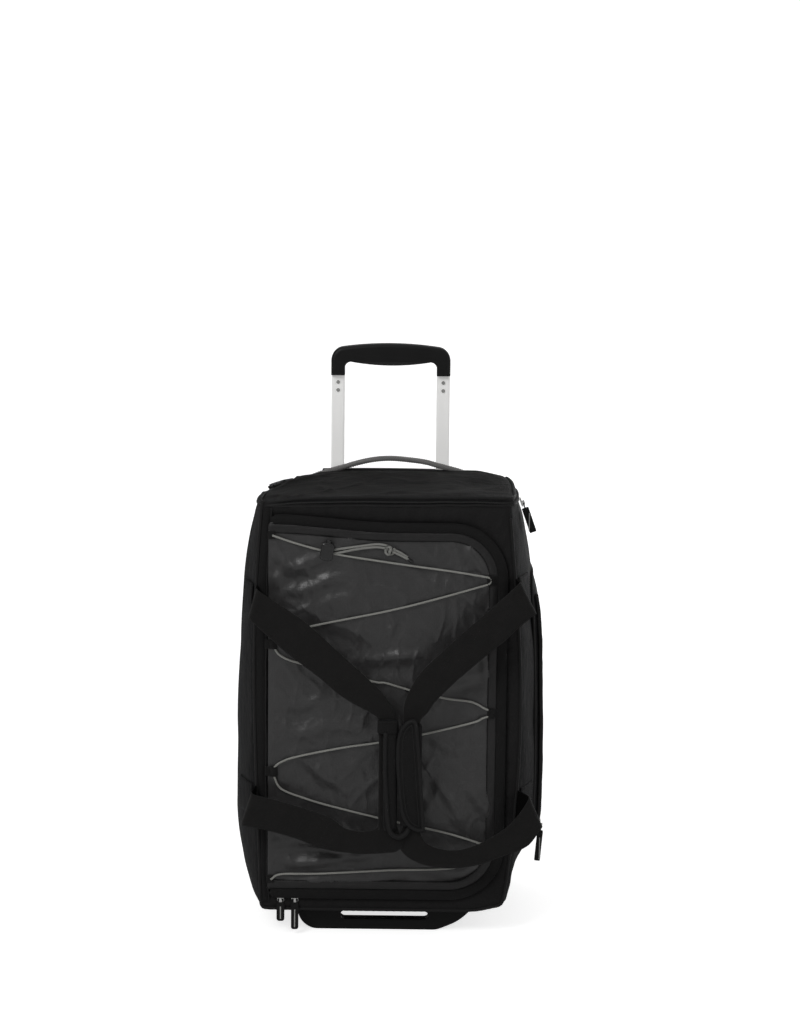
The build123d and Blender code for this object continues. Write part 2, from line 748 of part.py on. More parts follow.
# bezel plate where the tubes leave the bag
with BuildPart() as trolley_bezel:
    add(body_block(3.0))
    add(outer, mode=Mode.SUBTRACT)
    with BuildSketch(Plane.XY.offset(500)):
        with Locations((0, tube_y)):
            RectangleRounded(2 * tube_x + 38, 16.6, 6)
        with Locations(*tube_centres):
            RectangleRounded(mid_w + 0.5, mid_d + 0.5, 3.0, mode=Mode.SUBTRACT)
    extrude(amount=60.0, mode=Mode.INTERSECT)
save(trolley_bezel, "trolley_bezel")

# ---------------------------------------------------------------- trolley grip and release
grip_half = 74.2          # half width over the legs
leg_inner = 57.2          # half width between the legs
leg_foot_z = 651
grip_under_z = 668
grip_side_z = 684.0       # top of the straight sides
grip_crown_z = 690.6
grip_depth = 22.0
channel_depth = 5.4

with BuildPart() as grip_shell:
    with BuildSketch(facing_front(tube_y - grip_depth / 2)) as grip_sketch:
        with BuildLine():
            Line((-grip_half, leg_foot_z), (-grip_half, grip_side_z))
            ThreePointArc((-grip_half, grip_side_z), (0, grip_crown_z), (grip_half, grip_side_z))
            Line((grip_half, grip_side_z), (grip_half, leg_foot_z))
            Line((grip_half, leg_foot_z), (leg_inner, leg_foot_z))
            Line((leg_inner, leg_foot_z), (leg_inner, grip_under_z))
            Line((leg_inner, grip_under_z), (-leg_inner, grip_under_z))
            Line((-leg_inner, grip_under_z), (-leg_inner, leg_foot_z))
            Line((-leg_inner, leg_foot_z), (-grip_half, leg_foot_z))
        make_face()
        # sketch axis Y is height here
        fillet([v for v in grip_sketch.vertices() if v.Y > 680 and abs(v.X) > 70], 17)
        fillet([v for v in grip_sketch.vertices() if 667 < v.Y < 669], 8)
    extrude(amount=-grip_depth)
    upper_edges = grip_shell.edges().filter_by(Plane.XZ).filter_by(lambda e: e.center().Z > 669)
    fillet(upper_edges, 4.5)
    # pocket for the release lever and its travel
    with BuildSketch(Plane.XY.offset(660.0)):
        with Locations((0, tube_y)):
            RectangleRounded(100.4, 12.4, 0.8)
    extrude(amount=20.0, mode=Mode.SUBTRACT)
    # sockets for the inner tubes
    with BuildSketch(Plane.XY.offset(645.0)):
        with Locations(*tube_centres):
            RectangleRounded(inner_w + 0.02, inner_d + 0.02, 2.2)
    extrude(amount=7.02, mode=Mode.SUBTRACT)
    # upright channels above the tube mouths, joined by one across the grip
    with BuildSketch(Plane.XY.offset(651.9)):
        with Locations(*tube_centres):
            RectangleRounded(9, channel_depth, 1.5)
    extrude(amount=26.1, mode=Mode.SUBTRACT)
    with BuildSketch(Plane.XY.offset(672.0)):
        with Locations((0, tube_y)):
            Rectangle(2 * tube_x + 4, channel_depth)
    extrude(amount=7.4, mode=Mode.SUBTRACT)
save(grip_shell, "grip_shell")

# two rivets per tube, below the grip legs
with BuildPart() as grip_rivets:
    for x in (-tube_x, tube_x):
        for z in (642.2, 632.2):
            with BuildSketch(facing_front(tube_y - inner_d / 2 - 0.02)):
                with Locations((x, z)):
                    Circle(2.3)
            extrude(amount=0.9)
save(grip_rivets, "grip_rivets")

# squeeze lever with a curved underside, and its cross bar
lever_half = 49
lever_end_z = 667.4
lever_top = 673.0

with BuildPart() as release_lever:
    with BuildSketch(facing_front(tube_y - 6.0)):
        with BuildLine():
            ThreePointArc((-lever_half, lever_end_z), (0, 663.2), (lever_half, lever_end_z))
            Line((lever_half, lever_end_z), (lever_half, lever_top))
            Line((lever_half, lever_top), (-lever_half, lever_top))
            Line((-lever_half, lever_top), (-lever_half, lever_end_z))
        make_face()
    extrude(amount=-12.0)
    with BuildSketch(facing_front(tube_y - 2.5)):
        with Locations((0, 673.6)):
            Rectangle(2 * tube_x + 3.6, 2.6)
    extrude(amount=-5.0)
save(release_lever, "release_lever")

with BuildPart() as release_rods:
    for x in (-tube_x, tube_x):
        with BuildSketch(Plane.XY.offset(316.0)):
            with Locations((x, tube_y)):
                Circle(1.8)
        extrude(amount=356.2)
save(release_rods, "release_rods")

# ---------------------------------------------------------------- grab handle on the top
grab_y = 178.5

with BuildPart() as grab_handle:
    with BuildLine(facing_front(grab_y)) as arch:
        ThreePointArc((-100, 534.6), (-2, 546.4), (96, 537.0))
    with BuildSketch(Plane(origin=arch.line @ 0, x_dir=(0, 1, 0), z_dir=arch.line % 0)):
        RectangleRounded(8.6, 7.0, 3)
    sweep()
save(grab_handle, "grab_handle")

with BuildPart() as grab_tabs:
    add(body_block(15.0))
    add(outer, mode=Mode.SUBTRACT)
    with BuildSketch(Plane.XY.offset(490)):
        with Locations((-109.4, grab_y), (105.6, grab_y)):
            RectangleRounded(16, 12, 2)
    extrude(amount=60, mode=Mode.INTERSECT)
save(grab_tabs, "grab_handle_tabs")

# ---------------------------------------------------------------- zip sliders and pulls
# Every slider has a local frame: x and y lie along the fabric, y upwards, z out of it.
slider_width = 8.0
pull_thick = 1.5
pull_gap = 0.15           # between slider body and pull
arm_x, arm_width = 2.7, 1.8
pin_height = 0.9          # pivot axis above the slider body
pin_half, pin_radius = 3.6, 0.75


def zip_slider(name, plane, length, depth, eye_y):
    """Slider body with a bridge whose eye takes the pull's pin."""
    with BuildPart() as slider:
        with BuildSketch(plane):
            RectangleRounded(slider_width, length, slider_width * 0.22)
        extrude(amount=depth)
        with BuildSketch(plane.offset(depth)):
            with Locations((0, eye_y)):
                Rectangle(2.4, 5.2)
        extrude(amount=2.8)
        with BuildSketch(plane.offset(depth)):
            with Locations((0, eye_y)):
                Rectangle(2.6, 2.6)
        extrude(amount=1.8, mode=Mode.SUBTRACT)
    save(slider, name)


def pull_pin(plane, depth, eye_y):
    """Round pin on the pivot axis, through the eye of the slider."""
    start = plane.from_local_coords((0, eye_y, depth + pin_height)) - plane.x_dir * pin_half
    with BuildSketch(Plane(origin=start, x_dir=plane.y_dir, z_dir=plane.x_dir)) as pin:
        Circle(pin_radius)
    extrude(pin.sketch, amount=2 * pin_half)


def flat_pull(name, plane, depth, eye_y, width, length):
    """Pull lying flat: pin, two arms and a tab."""
    with BuildPart() as pull:
        with BuildSketch(plane.offset(depth + pull_gap)):
            with Locations((-arm_x, eye_y - 2.6), (arm_x, eye_y - 2.6)):
                Rectangle(arm_width, 5.2)
            with Locations((0, eye_y - 4.2 - length / 2)):
                RectangleRounded(width, length, width * 0.34)
        extrude(amount=pull_thick)
        pull_pin(plane, depth, eye_y)
    save(pull, name)


def hanging_pull(name, plane, depth, eye_y, width, length):
    """Pull whose tab is turned a quarter against its pin and stands on edge."""
    tab_thick = 2.6
    with BuildPart() as pull:
        with BuildSketch(plane.offset(depth + pull_gap)):
            with Locations((-arm_x, eye_y - 2.8), (arm_x, eye_y - 2.8)):
                Rectangle(arm_width, 5.6)
            with Locations((0, eye_y - 6.4)):
                Rectangle(2 * pin_half, 2.2)
        extrude(amount=pull_thick)
        pull_pin(plane, depth, eye_y)
        middle = plane.from_local_coords((0, eye_y - 6.6 - length / 2, depth + pin_height))
        tab_origin = middle - plane.x_dir * (tab_thick / 2)
        with BuildSketch(Plane(origin=tab_origin, x_dir=plane.z_dir, z_dir=plane.x_dir)):
            RectangleRounded(width, length, 1.2)
        extrude(amount=tab_thick)
    save(pull, name)


# two sliders side by side at the lower left of the main zip: suffix, x, pull width, length
for suffix, x, pull_width, pull_length in (("a", -123.5, 9.4, 22.0), ("b", -106.5, 8.8, 32.0)):
    main_plane = Plane(origin=(x, front_y - 0.9, 46.9), x_dir=(1, 0, 0), z_dir=(0, -1, 0))
    zip_slider(f"main_slider_{suffix}", main_plane, length=15.4, depth=2.2, eye_y=-4.4)
    flat_pull(f"main_pull_{suffix}", main_plane, depth=2.2, eye_y=-4.4,
              width=pull_width, length=pull_length)

# top zip slider on the right shoulder
top_plane = Plane(origin=(157.3, 34.0, 514.8), x_dir=(0, 1, 0), z_dir=(0.942, 0, 0.336))
zip_slider("top_slider", top_plane, length=11.0, depth=2.2, eye_y=-1.5)
hanging_pull("top_pull", top_plane, depth=2.2, eye_y=-1.5, width=8.4, length=31.0)

# slider at the foot of the side zip
side_plane = Plane(origin=(186.5, 46.0, 118.0), x_dir=(0, 1, 0), z_dir=(0.996, 0, -0.088))
zip_slider("side_slider", side_plane, length=11.0, depth=2.0, eye_y=-1.5)
hanging_pull("side_pull", side_plane, depth=2.0, eye_y=-1.5, width=7.0, length=38.0)
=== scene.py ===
"""A wheeled trolley bag with a D-shaped front lid, built over its CAD pieces.

The bag stands upright on z = 0. Its front faces -Y, its left side is -X.
Geometry is written in millimetres and turned into metres when a mesh is made.
Materials, lights and the camera are in metres.
"""
import math

import bmesh
import bpy
import numpy as np
from mathutils import Matrix, Vector, noise


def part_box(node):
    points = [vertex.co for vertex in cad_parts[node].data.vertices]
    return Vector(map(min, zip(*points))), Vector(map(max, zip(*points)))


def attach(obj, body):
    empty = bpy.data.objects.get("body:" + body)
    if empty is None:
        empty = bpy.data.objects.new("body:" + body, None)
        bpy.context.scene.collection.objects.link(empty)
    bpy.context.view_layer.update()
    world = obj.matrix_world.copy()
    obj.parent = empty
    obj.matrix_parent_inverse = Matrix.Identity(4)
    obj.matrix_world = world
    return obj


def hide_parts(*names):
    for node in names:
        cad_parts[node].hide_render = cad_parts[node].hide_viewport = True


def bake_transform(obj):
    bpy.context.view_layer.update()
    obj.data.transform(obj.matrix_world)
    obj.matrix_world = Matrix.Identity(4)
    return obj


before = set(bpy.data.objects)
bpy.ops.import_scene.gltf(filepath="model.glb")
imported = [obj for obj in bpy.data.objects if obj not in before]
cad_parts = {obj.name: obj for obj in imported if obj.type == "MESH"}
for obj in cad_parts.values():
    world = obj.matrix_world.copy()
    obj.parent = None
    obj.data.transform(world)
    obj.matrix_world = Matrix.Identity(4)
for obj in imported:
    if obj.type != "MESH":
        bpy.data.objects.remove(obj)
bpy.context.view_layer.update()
MM = 0.001
MAT = {}  # materials by name, without the "mat_" prefix


# ---------------------------------------------------------------- curves and noise
def smooth_step(start, end, x):
    """Ease from 0 at start to 1 at end; start may be the larger of the two."""
    t = np.clip((np.asarray(x, float) - start) / (end - start), 0, 1)
    return t * t * (3 - 2 * t)


def soft_noise(points, scale, seed=0.0, octaves=2):
    """Fractal noise, about -1 to 1; scale is its wavelength in mm."""
    cells = np.asarray(points, float).reshape(-1, 3) / scale + seed
    return np.array([noise.fractal(cell, 0.9, 2.1, octaves) for cell in cells])


def crease_noise(points, scale, seed):
    """Crisp creases: 0 in the open, 1 on the crease line."""
    cells = np.asarray(points, float).reshape(-1, 3) / scale + seed
    return np.array([1 - min(1.0, abs(noise.noise(cell)) * 2.4) for cell in cells])


def columns(x, y, z):
    """Points from three coordinates, each an array or a single number."""
    return np.stack(np.broadcast_arrays(x, y, z), -1)


def distance_along(path):
    """Distance of each point from the start of the path."""
    steps = np.linalg.norm(np.diff(np.asarray(path, float), axis=0), axis=1)
    return np.r_[0, np.cumsum(steps)]


def catmull(controls, count, closed=False):
    """Smooth curve through the control points, resampled evenly, and its length."""
    P = np.asarray(controls, float)
    last = len(P)
    t = np.linspace(0, 1, 16, endpoint=False)[:, None]
    pieces = []
    for i in range(last if closed else last - 1):
        p1, p2 = P[i], P[(i + 1) % last]
        p0 = P[i - 1] if closed or i > 0 else 2 * p1 - p2
        p3 = P[(i + 2) % last] if closed or i + 2 < last else 2 * p2 - p1
        pieces.append(0.5 * (2 * p1 + (p2 - p0) * t + (2 * p0 - 5 * p1 + 4 * p2 - p3) * t * t
                             + (3 * p1 - p0 - 3 * p2 + p3) * t ** 3))
    pieces.append(pieces[0][:1] if closed else P[-1:])
    curve = np.vstack(pieces)
    along = distance_along(curve)
    stops = np.linspace(0, along[-1], count + (1 if closed else 0))
    even = np.stack([np.interp(stops, along, axis) for axis in curve.T], 1)
    return (even[:-1] if closed else even), along[-1]


def rounded_outline(corners, count):
    """Even points round four quarter arcs, each (across, z, radius, points).

    It runs from the corner that is high across and low in z, upwards first.
    """
    points = []
    for quarter, (across, z, radius, steps) in enumerate(corners, -1):
        for a in np.linspace(quarter * np.pi / 2, (quarter + 1) * np.pi / 2, steps):
            points.append((across + radius * math.cos(a), z + radius * math.sin(a)))
    outline = np.array(points + points[:1])
    along = distance_along(outline)
    stops = np.linspace(0, along[-1], count, endpoint=False)
    return np.stack([np.interp(stops, along, axis) for axis in outline.T], 1)


# ---------------------------------------------------------------- meshes
def shade_smooth(mesh):
    mesh.polygons.foreach_set("use_smooth", [True] * len(mesh.polygons))


def make(name, verts, faces, material, uv=None):
    """Smooth mesh object from points and UVs in mm."""
    mesh = bpy.data.meshes.new(name)
    mesh.from_pydata((np.asarray(verts, float).reshape(-1, 3) * MM).tolist(), [], faces)
    mesh.update()
    shade_smooth(mesh)
    if uv is not None:
        uv = np.asarray(uv, float).reshape(-1, 2)
        layer = mesh.uv_layers.new(name="UVMap")
        index = np.empty(len(mesh.loops), int)
        mesh.loops.foreach_get("vertex_index", index)
        layer.data.foreach_set("uv", (uv[index] * MM).ravel())
    ob = bpy.data.objects.new(name, mesh)
    bpy.context.scene.collection.objects.link(ob)
    mesh.materials.append(MAT[material])
    return ob


def grid_faces(rows, cols, close_cols=False, flip=False, close_rows=False):
    """Quads over a grid of points stored row by row."""
    faces = []
    for i in range(rows if close_rows else rows - 1):
        for j in range(cols if close_cols else cols - 1):
            a, b = i * cols + j, ((i + 1) % rows) * cols + j
            c, d = ((i + 1) % rows) * cols + (j + 1) % cols, i * cols + (j + 1) % cols
            faces.append((a, d, c, b) if flip else (a, b, c, d))
    return faces


def outward(ob):
    """Turn the faces so that they look away from the middle of the bag."""
    mesh = ob.data
    normals, centres = np.empty(len(mesh.polygons) * 3), np.empty(len(mesh.polygons) * 3)
    mesh.polygons.foreach_get("normal", normals)
    mesh.polygons.foreach_get("center", centres)
    away = centres.reshape(-1, 3) / MM - np.array((0.0, 70.0, 280.0))
    if np.mean(np.sum(normals.reshape(-1, 3) * away, 1)) < 0:
        mesh.flip_normals()


def thicken(ob, thickness, offset=0.0, lining_slot=0):
    modifier = ob.modifiers.new("thick", "SOLIDIFY")
    modifier.thickness = thickness * MM
    modifier.offset = offset
    modifier.material_offset = lining_slot


def pad(ob, thickness, lining_slot):
    """Thicken a panel inwards, with lining on its inner face."""
    ob.data.materials.append(MAT["lining"])
    thicken(ob, thickness, -1.0, lining_slot)


def apply_mods(ob):
    depsgraph = bpy.context.evaluated_depsgraph_get()
    mesh = bpy.data.meshes.new_from_object(ob.evaluated_get(depsgraph))
    ob.modifiers.clear()
    ob.data = mesh


def join(name, pieces):
    """Merge pieces that are one sewn part into one mesh object."""
    for piece in pieces:
        if piece.modifiers:
            apply_mods(piece)
    bpy.ops.object.select_all(action="DESELECT")
    for piece in pieces:
        piece.select_set(True)
    bpy.context.view_layer.objects.active = pieces[0]
    bpy.ops.object.join()
    pieces[0].name = name
    pieces[0].data.name = name
    return pieces[0]


def put(ob, body, cad):
    """Fix a finished part to a moving body; cad is the piece it replaces, if any."""
    if ob.modifiers:
        apply_mods(ob)
        shade_smooth(ob.data)
    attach(ob, body)
    if cad:
        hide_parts(cad)


def ripple(height, length, twist=0.0):
    """Sine ripple for a tube; length is mm per radian."""
    return lambda along, angle: height * np.sin(along / length + twist * angle)


PIPING_RIPPLE = ripple(0.12, 1.3)


def tube(name, path, radius, material, sides=8, count=None, closed=False, ripple=None,
         reference=(0.0, 1.0, 0.0)):
    """Round cord along a path; ripple(distance, angle) adds to its radius."""
    count = count or max(8, int(distance_along(path)[-1] / 3.0))
    centre, length = catmull(path, count, closed)
    tangent = np.roll(centre, -1, 0) - np.roll(centre, 1, 0)
    if not closed:
        tangent[0], tangent[-1] = centre[1] - centre[0], centre[-1] - centre[-2]
    tangent /= np.linalg.norm(tangent, axis=1)[:, None] + 1e-12
    reference = np.array(reference, float)
    if abs(np.mean(tangent @ reference)) > 0.8:
        reference = np.array([1.0, 0, 0])
    normal = reference - (tangent @ reference)[:, None] * tangent
    normal /= np.linalg.norm(normal, axis=1)[:, None] + 1e-12
    binormal = np.cross(tangent, normal)
    along = np.linspace(0, length, count)
    verts = np.empty((count, sides, 3))
    uv = np.empty((count, sides, 2))
    for j, angle in enumerate(np.linspace(0, 2 * np.pi, sides, endpoint=False)):
        reach = np.full(count, radius)
        if ripple is not None:
            reach = reach + ripple(along, angle)
        verts[:, j] = (centre + normal * (np.cos(angle) * reach)[:, None]
                       + binormal * (np.sin(angle) * reach)[:, None])
        uv[:, j, 0] = along
        uv[:, j, 1] = angle * radius
    faces = grid_faces(count, sides, close_cols=True, close_rows=closed)
    verts, uv = verts.reshape(-1, 3), uv.reshape(-1, 2)
    if not closed:
        # a shallow cone closes each end
        tip, end_row = len(verts), (count - 1) * sides
        verts = np.vstack([verts, centre[:1] - tangent[:1] * radius * 0.35,
                           centre[-1:] + tangent[-1:] * radius * 0.35])
        uv = np.vstack([uv, [[0, 0], [length, 0]]])
        for j in range(sides):
            after = (j + 1) % sides
            faces.append((tip, j, after))
            faces.append((tip + 1, end_row + after, end_row + j))
    return make(name, verts, faces, material, uv)


def ribbon(name, edge_a, edge_b, material, count, across, thick, bow=0.0, bow_dir=(0, -1, 0),
           wave=0.0, seed=1.0):
    """Flat webbing between two edge curves given by paired control points."""
    uv_width = 38.0
    both = np.hstack([np.asarray(edge_a, float), np.asarray(edge_b, float)])
    curve, _ = catmull(both, count)
    a, b = curve[:, :3], curve[:, 3:]
    verts = np.empty((count, across, 3))
    uv = np.empty((count, across, 2))
    bow_dir = np.asarray(bow_dir, float)
    for j in range(across):
        t = j / (across - 1)
        verts[:, j] = a * (1 - t) + b * t + bow_dir * bow * 4 * t * (1 - t)
        uv[:, j, 0] = distance_along((a + b) / 2)
        uv[:, j, 1] = t * uv_width
    if wave:
        flat = verts.reshape(-1, 3)
        verts = flat + bow_dir * (wave * soft_noise(flat, 45.0, seed))[:, None]
    ob = make(name, verts, grid_faces(count, across), material, uv)
    thicken(ob, thick)
    return ob


def stitch_line(name, path, pitch=3.4):
    """Row of raised thread stitches along a path."""
    radius, length, lift, sides = 0.33, 2.2, 0.35, 5
    stations = ((0.0, 0.4), (0.25, 1.0), (0.75, 1.0), (1.0, 0.4))  # place, share of radius
    count = int(distance_along(path)[-1] / pitch)
    points, _ = catmull(path, count * 2 + 1)
    verts, faces = [], []
    for i in range(0, 2 * count, 2):
        start = points[i]
        end = start + (points[i + 1] - start) * (2 * length / pitch * 0.72)
        heading = end - start
        heading = heading / (np.linalg.norm(heading) + 1e-9)
        up = np.array([0, -1.0, 0])
        if abs(heading @ up) > 0.9:
            up = np.array([1.0, 0, 0])
        aside = np.cross(heading, up)
        base = len(verts)
        for t, share in stations:
            arch = up * lift * math.sin(math.pi * min(max(t, 0.08), 0.92))
            centre = start + (end - start) * t + arch
            for k in range(sides):
                a = 2 * math.pi * k / sides
                verts.append(centre + (aside * math.cos(a) + up * math.sin(a)) * radius * share)
        for k in range(base, base + 3 * sides, sides):
            for j in range(sides):
                after = (j + 1) % sides
                faces.append((k + j, k + after, k + sides + after, k + sides + j))
    return make(name, verts, faces, "thread", np.zeros((len(verts), 2)))


# ---------------------------------------------------------------- shader nodes
WEAVE_SCALE = 1000.0 / 6.2832  # wave texture scale of a nominal 1 mm weave
RIB_SCALE = WEAVE_SCALE * 3.14  # and of a nominal 1 mm rib


def feed(node, inputs):
    """Set each input of a node to a value, or link it to the socket given."""
    for key, value in inputs.items():
        if isinstance(value, bpy.types.NodeSocket):
            node.id_data.links.new(value, node.inputs[key])
        else:
            node.inputs[key].default_value = value


def add(tree, kind, inputs, **options):
    node = tree.nodes.new("ShaderNode" + kind)
    for option, value in options.items():
        setattr(node, option, value)
    feed(node, inputs)
    return node


def new_material(key):
    """Make a material; returns its node tree and its Principled BSDF."""
    material = bpy.data.materials.new("mat_" + key)
    material.use_nodes = True
    MAT[key] = material
    return material.node_tree, material.node_tree.nodes["Principled BSDF"]


def combine(tree, operation, a, b, clamp=False):
    return add(tree, "Math", {0: a, 1: b}, operation=operation, use_clamp=clamp).outputs[0]


def scaled(tree, value, factor):
    return combine(tree, "MULTIPLY", value, factor)


def total(tree, first, *others):
    for other in others:
        first = combine(tree, "ADD", first, other)
    return first


def coords(tree, kind, scale=(1.0, 1.0, 1.0)):
    source = add(tree, "TexCoord", {}).outputs[kind]
    return add(tree, "Mapping", {"Scale": scale, "Vector": source}).outputs["Vector"]


def noise_texture(tree, vector, scale, detail, roughness=0.55):
    return add(tree, "TexNoise", {"Scale": scale, "Detail": detail, "Roughness": roughness,
                                  "Vector": vector}).outputs["Fac"]


def bands(tree, vector, scale, axis, profile="SIN"):
    return add(tree, "TexWave", {"Scale": scale, "Detail": 1.0, "Vector": vector},
               bands_direction=axis, wave_profile=profile).outputs["Fac"]


def bump(tree, height, strength, distance, normal=None):
    inputs = {"Strength": strength, "Distance": distance, "Height": height}
    if normal is not None:
        inputs["Normal"] = normal
    return add(tree, "Bump", inputs).outputs["Normal"]


def spread(tree, value, low, high):
    """Map 0..1 to low..high."""
    inputs = {"To Min": low, "To Max": high, "Value": value}
    return add(tree, "MapRange", inputs).outputs[0]


def tint(tree, colour, factor, amount):
    """The colour, made darker and lighter by a share of itself."""
    dark = tuple(max(0.0, c * (1 - amount)) for c in colour) + (1.0,)
    light = tuple(min(1.0, c * (1 + amount)) for c in colour) + (1.0,)
    return add(tree, "Mix", {6: dark, 7: light, 0: factor}, data_type="RGBA").outputs[2]


# ---------------------------------------------------------------- materials
def fabric(key, colour, roughness, sheen, weave, weave_bump, slub, specular, pucker):
    """Woven polyester: crossed threads, slubs and a soft sheen."""
    tree, bsdf = new_material(key)
    vector = coords(tree, "Object")
    threads = [bands(tree, vector, WEAVE_SCALE / weave, axis) for axis in "XYZ"]
    patches = noise_texture(tree, vector, scale=22.0, detail=4)
    fine = noise_texture(tree, vector, scale=900.0, detail=2)
    height = total(tree, *threads, scaled(tree, fine, 1.2))
    normal = bump(tree, height, strength=weave_bump, distance=0.0002)
    if pucker:
        crease = noise_texture(tree, vector, scale=75.0, detail=5, roughness=0.62)
        normal = bump(tree, crease, strength=pucker, distance=0.004, normal=normal)
    shade = total(tree, scaled(tree, fine, 0.5), scaled(tree, patches, slub))
    feed(bsdf, {"Base Color": tint(tree, colour, shade, amount=0.35), "Normal": normal,
                "Roughness": roughness, "Specular IOR Level": specular,
                "Sheen Weight": sheen, "Sheen Roughness": 0.5,
                "Sheen Tint": (0.8, 0.8, 0.85, 1)})


def webbing(key, colour, rib, roughness, rib_bump, specular, sheen):
    """Flat woven strap with ribs that follow its UVs."""
    tree, bsdf = new_material(key)
    vector = coords(tree, "UV")
    along = bands(tree, vector, RIB_SCALE / rib, "Y")
    cross = bands(tree, vector, RIB_SCALE / 1.1, "X")
    diagonal = bands(tree, vector, RIB_SCALE / 1.8, "DIAGONAL")
    height = total(tree, scaled(tree, along, 1.0), scaled(tree, cross, 0.6),
                   scaled(tree, diagonal, 0.5))
    patches = noise_texture(tree, coords(tree, "Object"), scale=60.0, detail=4)
    shade = total(tree, scaled(tree, patches, 0.7), scaled(tree, along, 0.3))
    feed(bsdf, {"Base Color": tint(tree, colour, shade, amount=0.4),
                "Normal": bump(tree, height, strength=rib_bump, distance=0.0003),
                "Roughness": roughness, "Specular IOR Level": specular,
                "Sheen Weight": sheen})


def tarpaulin(key, colour, specular, coat):
    """Coated ripstop: fine square grid under a soft gloss, with crumple creases."""
    tree, bsdf = new_material(key)
    vector = coords(tree, "Object")
    ridges = []
    for axis in "XZ":
        saw = bands(tree, vector, RIB_SCALE / 4.2, axis, "SAW")
        ridges.append(combine(tree, "POWER", saw, 9.0))
    grid = combine(tree, "MAXIMUM", *ridges)

    # crumple creases are the edges of warped Voronoi cells
    warp = add(tree, "TexNoise", {"Scale": 18.0, "Detail": 3.0, "Vector": vector})
    shift = add(tree, "VectorMath", {}, operation="SCALE")
    feed(shift, {"Scale": 0.03, 0: warp.outputs["Color"]})
    warped = add(tree, "VectorMath", {0: vector, 1: shift.outputs[0]}, operation="ADD")
    cells = add(tree, "TexVoronoi", {"Scale": 26.0, "Vector": warped.outputs[0]},
                feature="DISTANCE_TO_EDGE")
    gap = combine(tree, "MULTIPLY", cells.outputs["Distance"], 7.0, clamp=True)
    crease = combine(tree, "SUBTRACT", 1.0, gap, clamp=True)

    patches = noise_texture(tree, vector, scale=9.0, detail=4)
    middle = noise_texture(tree, vector, scale=48.0, detail=6, roughness=0.6)
    fine = noise_texture(tree, vector, scale=260.0, detail=4, roughness=0.6)
    normal = bump(tree, middle, strength=0.22, distance=0.006)
    normal = bump(tree, crease, strength=0.16, distance=0.0012, normal=normal)
    normal = bump(tree, grid, strength=0.3, distance=0.00025, normal=normal)
    normal = bump(tree, fine, strength=0.25, distance=0.0006, normal=normal)
    lines = total(tree, scaled(tree, grid, 0.35), scaled(tree, crease, 0.25))
    shade = total(tree, scaled(tree, patches, 0.5), lines)
    feed(bsdf, {"Base Color": tint(tree, colour, shade, amount=0.35), "Normal": normal,
                "Roughness": spread(tree, middle, low=0.34, high=0.50),
                "Specular IOR Level": specular, "Coat Weight": coat,
                "Coat Roughness": 0.30})


def plastic(key, colour, roughness, grain, grain_scale, specular, scuff):
    tree, bsdf = new_material(key)
    vector = coords(tree, "Object")
    grains = noise_texture(tree, vector, scale=grain_scale, detail=2)
    scuffs = noise_texture(tree, vector, scale=35.0, detail=6, roughness=0.7)
    feed(bsdf, {"Base Color": tint(tree, colour, scuffs, amount=0.25),
                "Normal": bump(tree, grains, strength=grain, distance=0.0002),
                "Roughness": spread(tree, scuffs, low=roughness * (1 - scuff * 0.5),
                                    high=min(1.0, roughness * (1 + scuff))),
                "Specular IOR Level": specular})


def metal(key, colour, roughness, line_pitch, strength):
    """Metal brushed along Z; a line pitch adds fine drawn lines."""
    tree, bsdf = new_material(key)
    stretched = coords(tree, "Object", (400.0, 400.0, 9.0))
    streaks = height = noise_texture(tree, stretched, scale=1.0, detail=4)
    if line_pitch:
        lines = bands(tree, coords(tree, "Object"), RIB_SCALE / line_pitch, "X")
        height = total(tree, streaks, scaled(tree, lines, 1.4))
    feed(bsdf, {"Base Color": tint(tree, colour, streaks, amount=0.08),
                "Normal": bump(tree, height, strength=strength, distance=0.0002),
                "Roughness": spread(tree, streaks, low=roughness * 0.8,
                                    high=roughness * 1.3),
                "Metallic": 1.0})


def ribbed_rubber(key, colour, rib, roughness):
    tree, bsdf = new_material(key)
    ribs = bands(tree, coords(tree, "UV"), RIB_SCALE / rib, "DIAGONAL")
    grains = noise_texture(tree, coords(tree, "Object"), scale=900.0, detail=3)
    height = total(tree, ribs, scaled(tree, grains, 0.5))
    shade = total(tree, scaled(tree, ribs, 0.7), scaled(tree, grains, 0.3))
    feed(bsdf, {"Base Color": tint(tree, colour, shade, amount=0.35),
                "Normal": bump(tree, height, strength=0.6, distance=0.0006),
                "Roughness": roughness, "Specular IOR Level": 0.4})


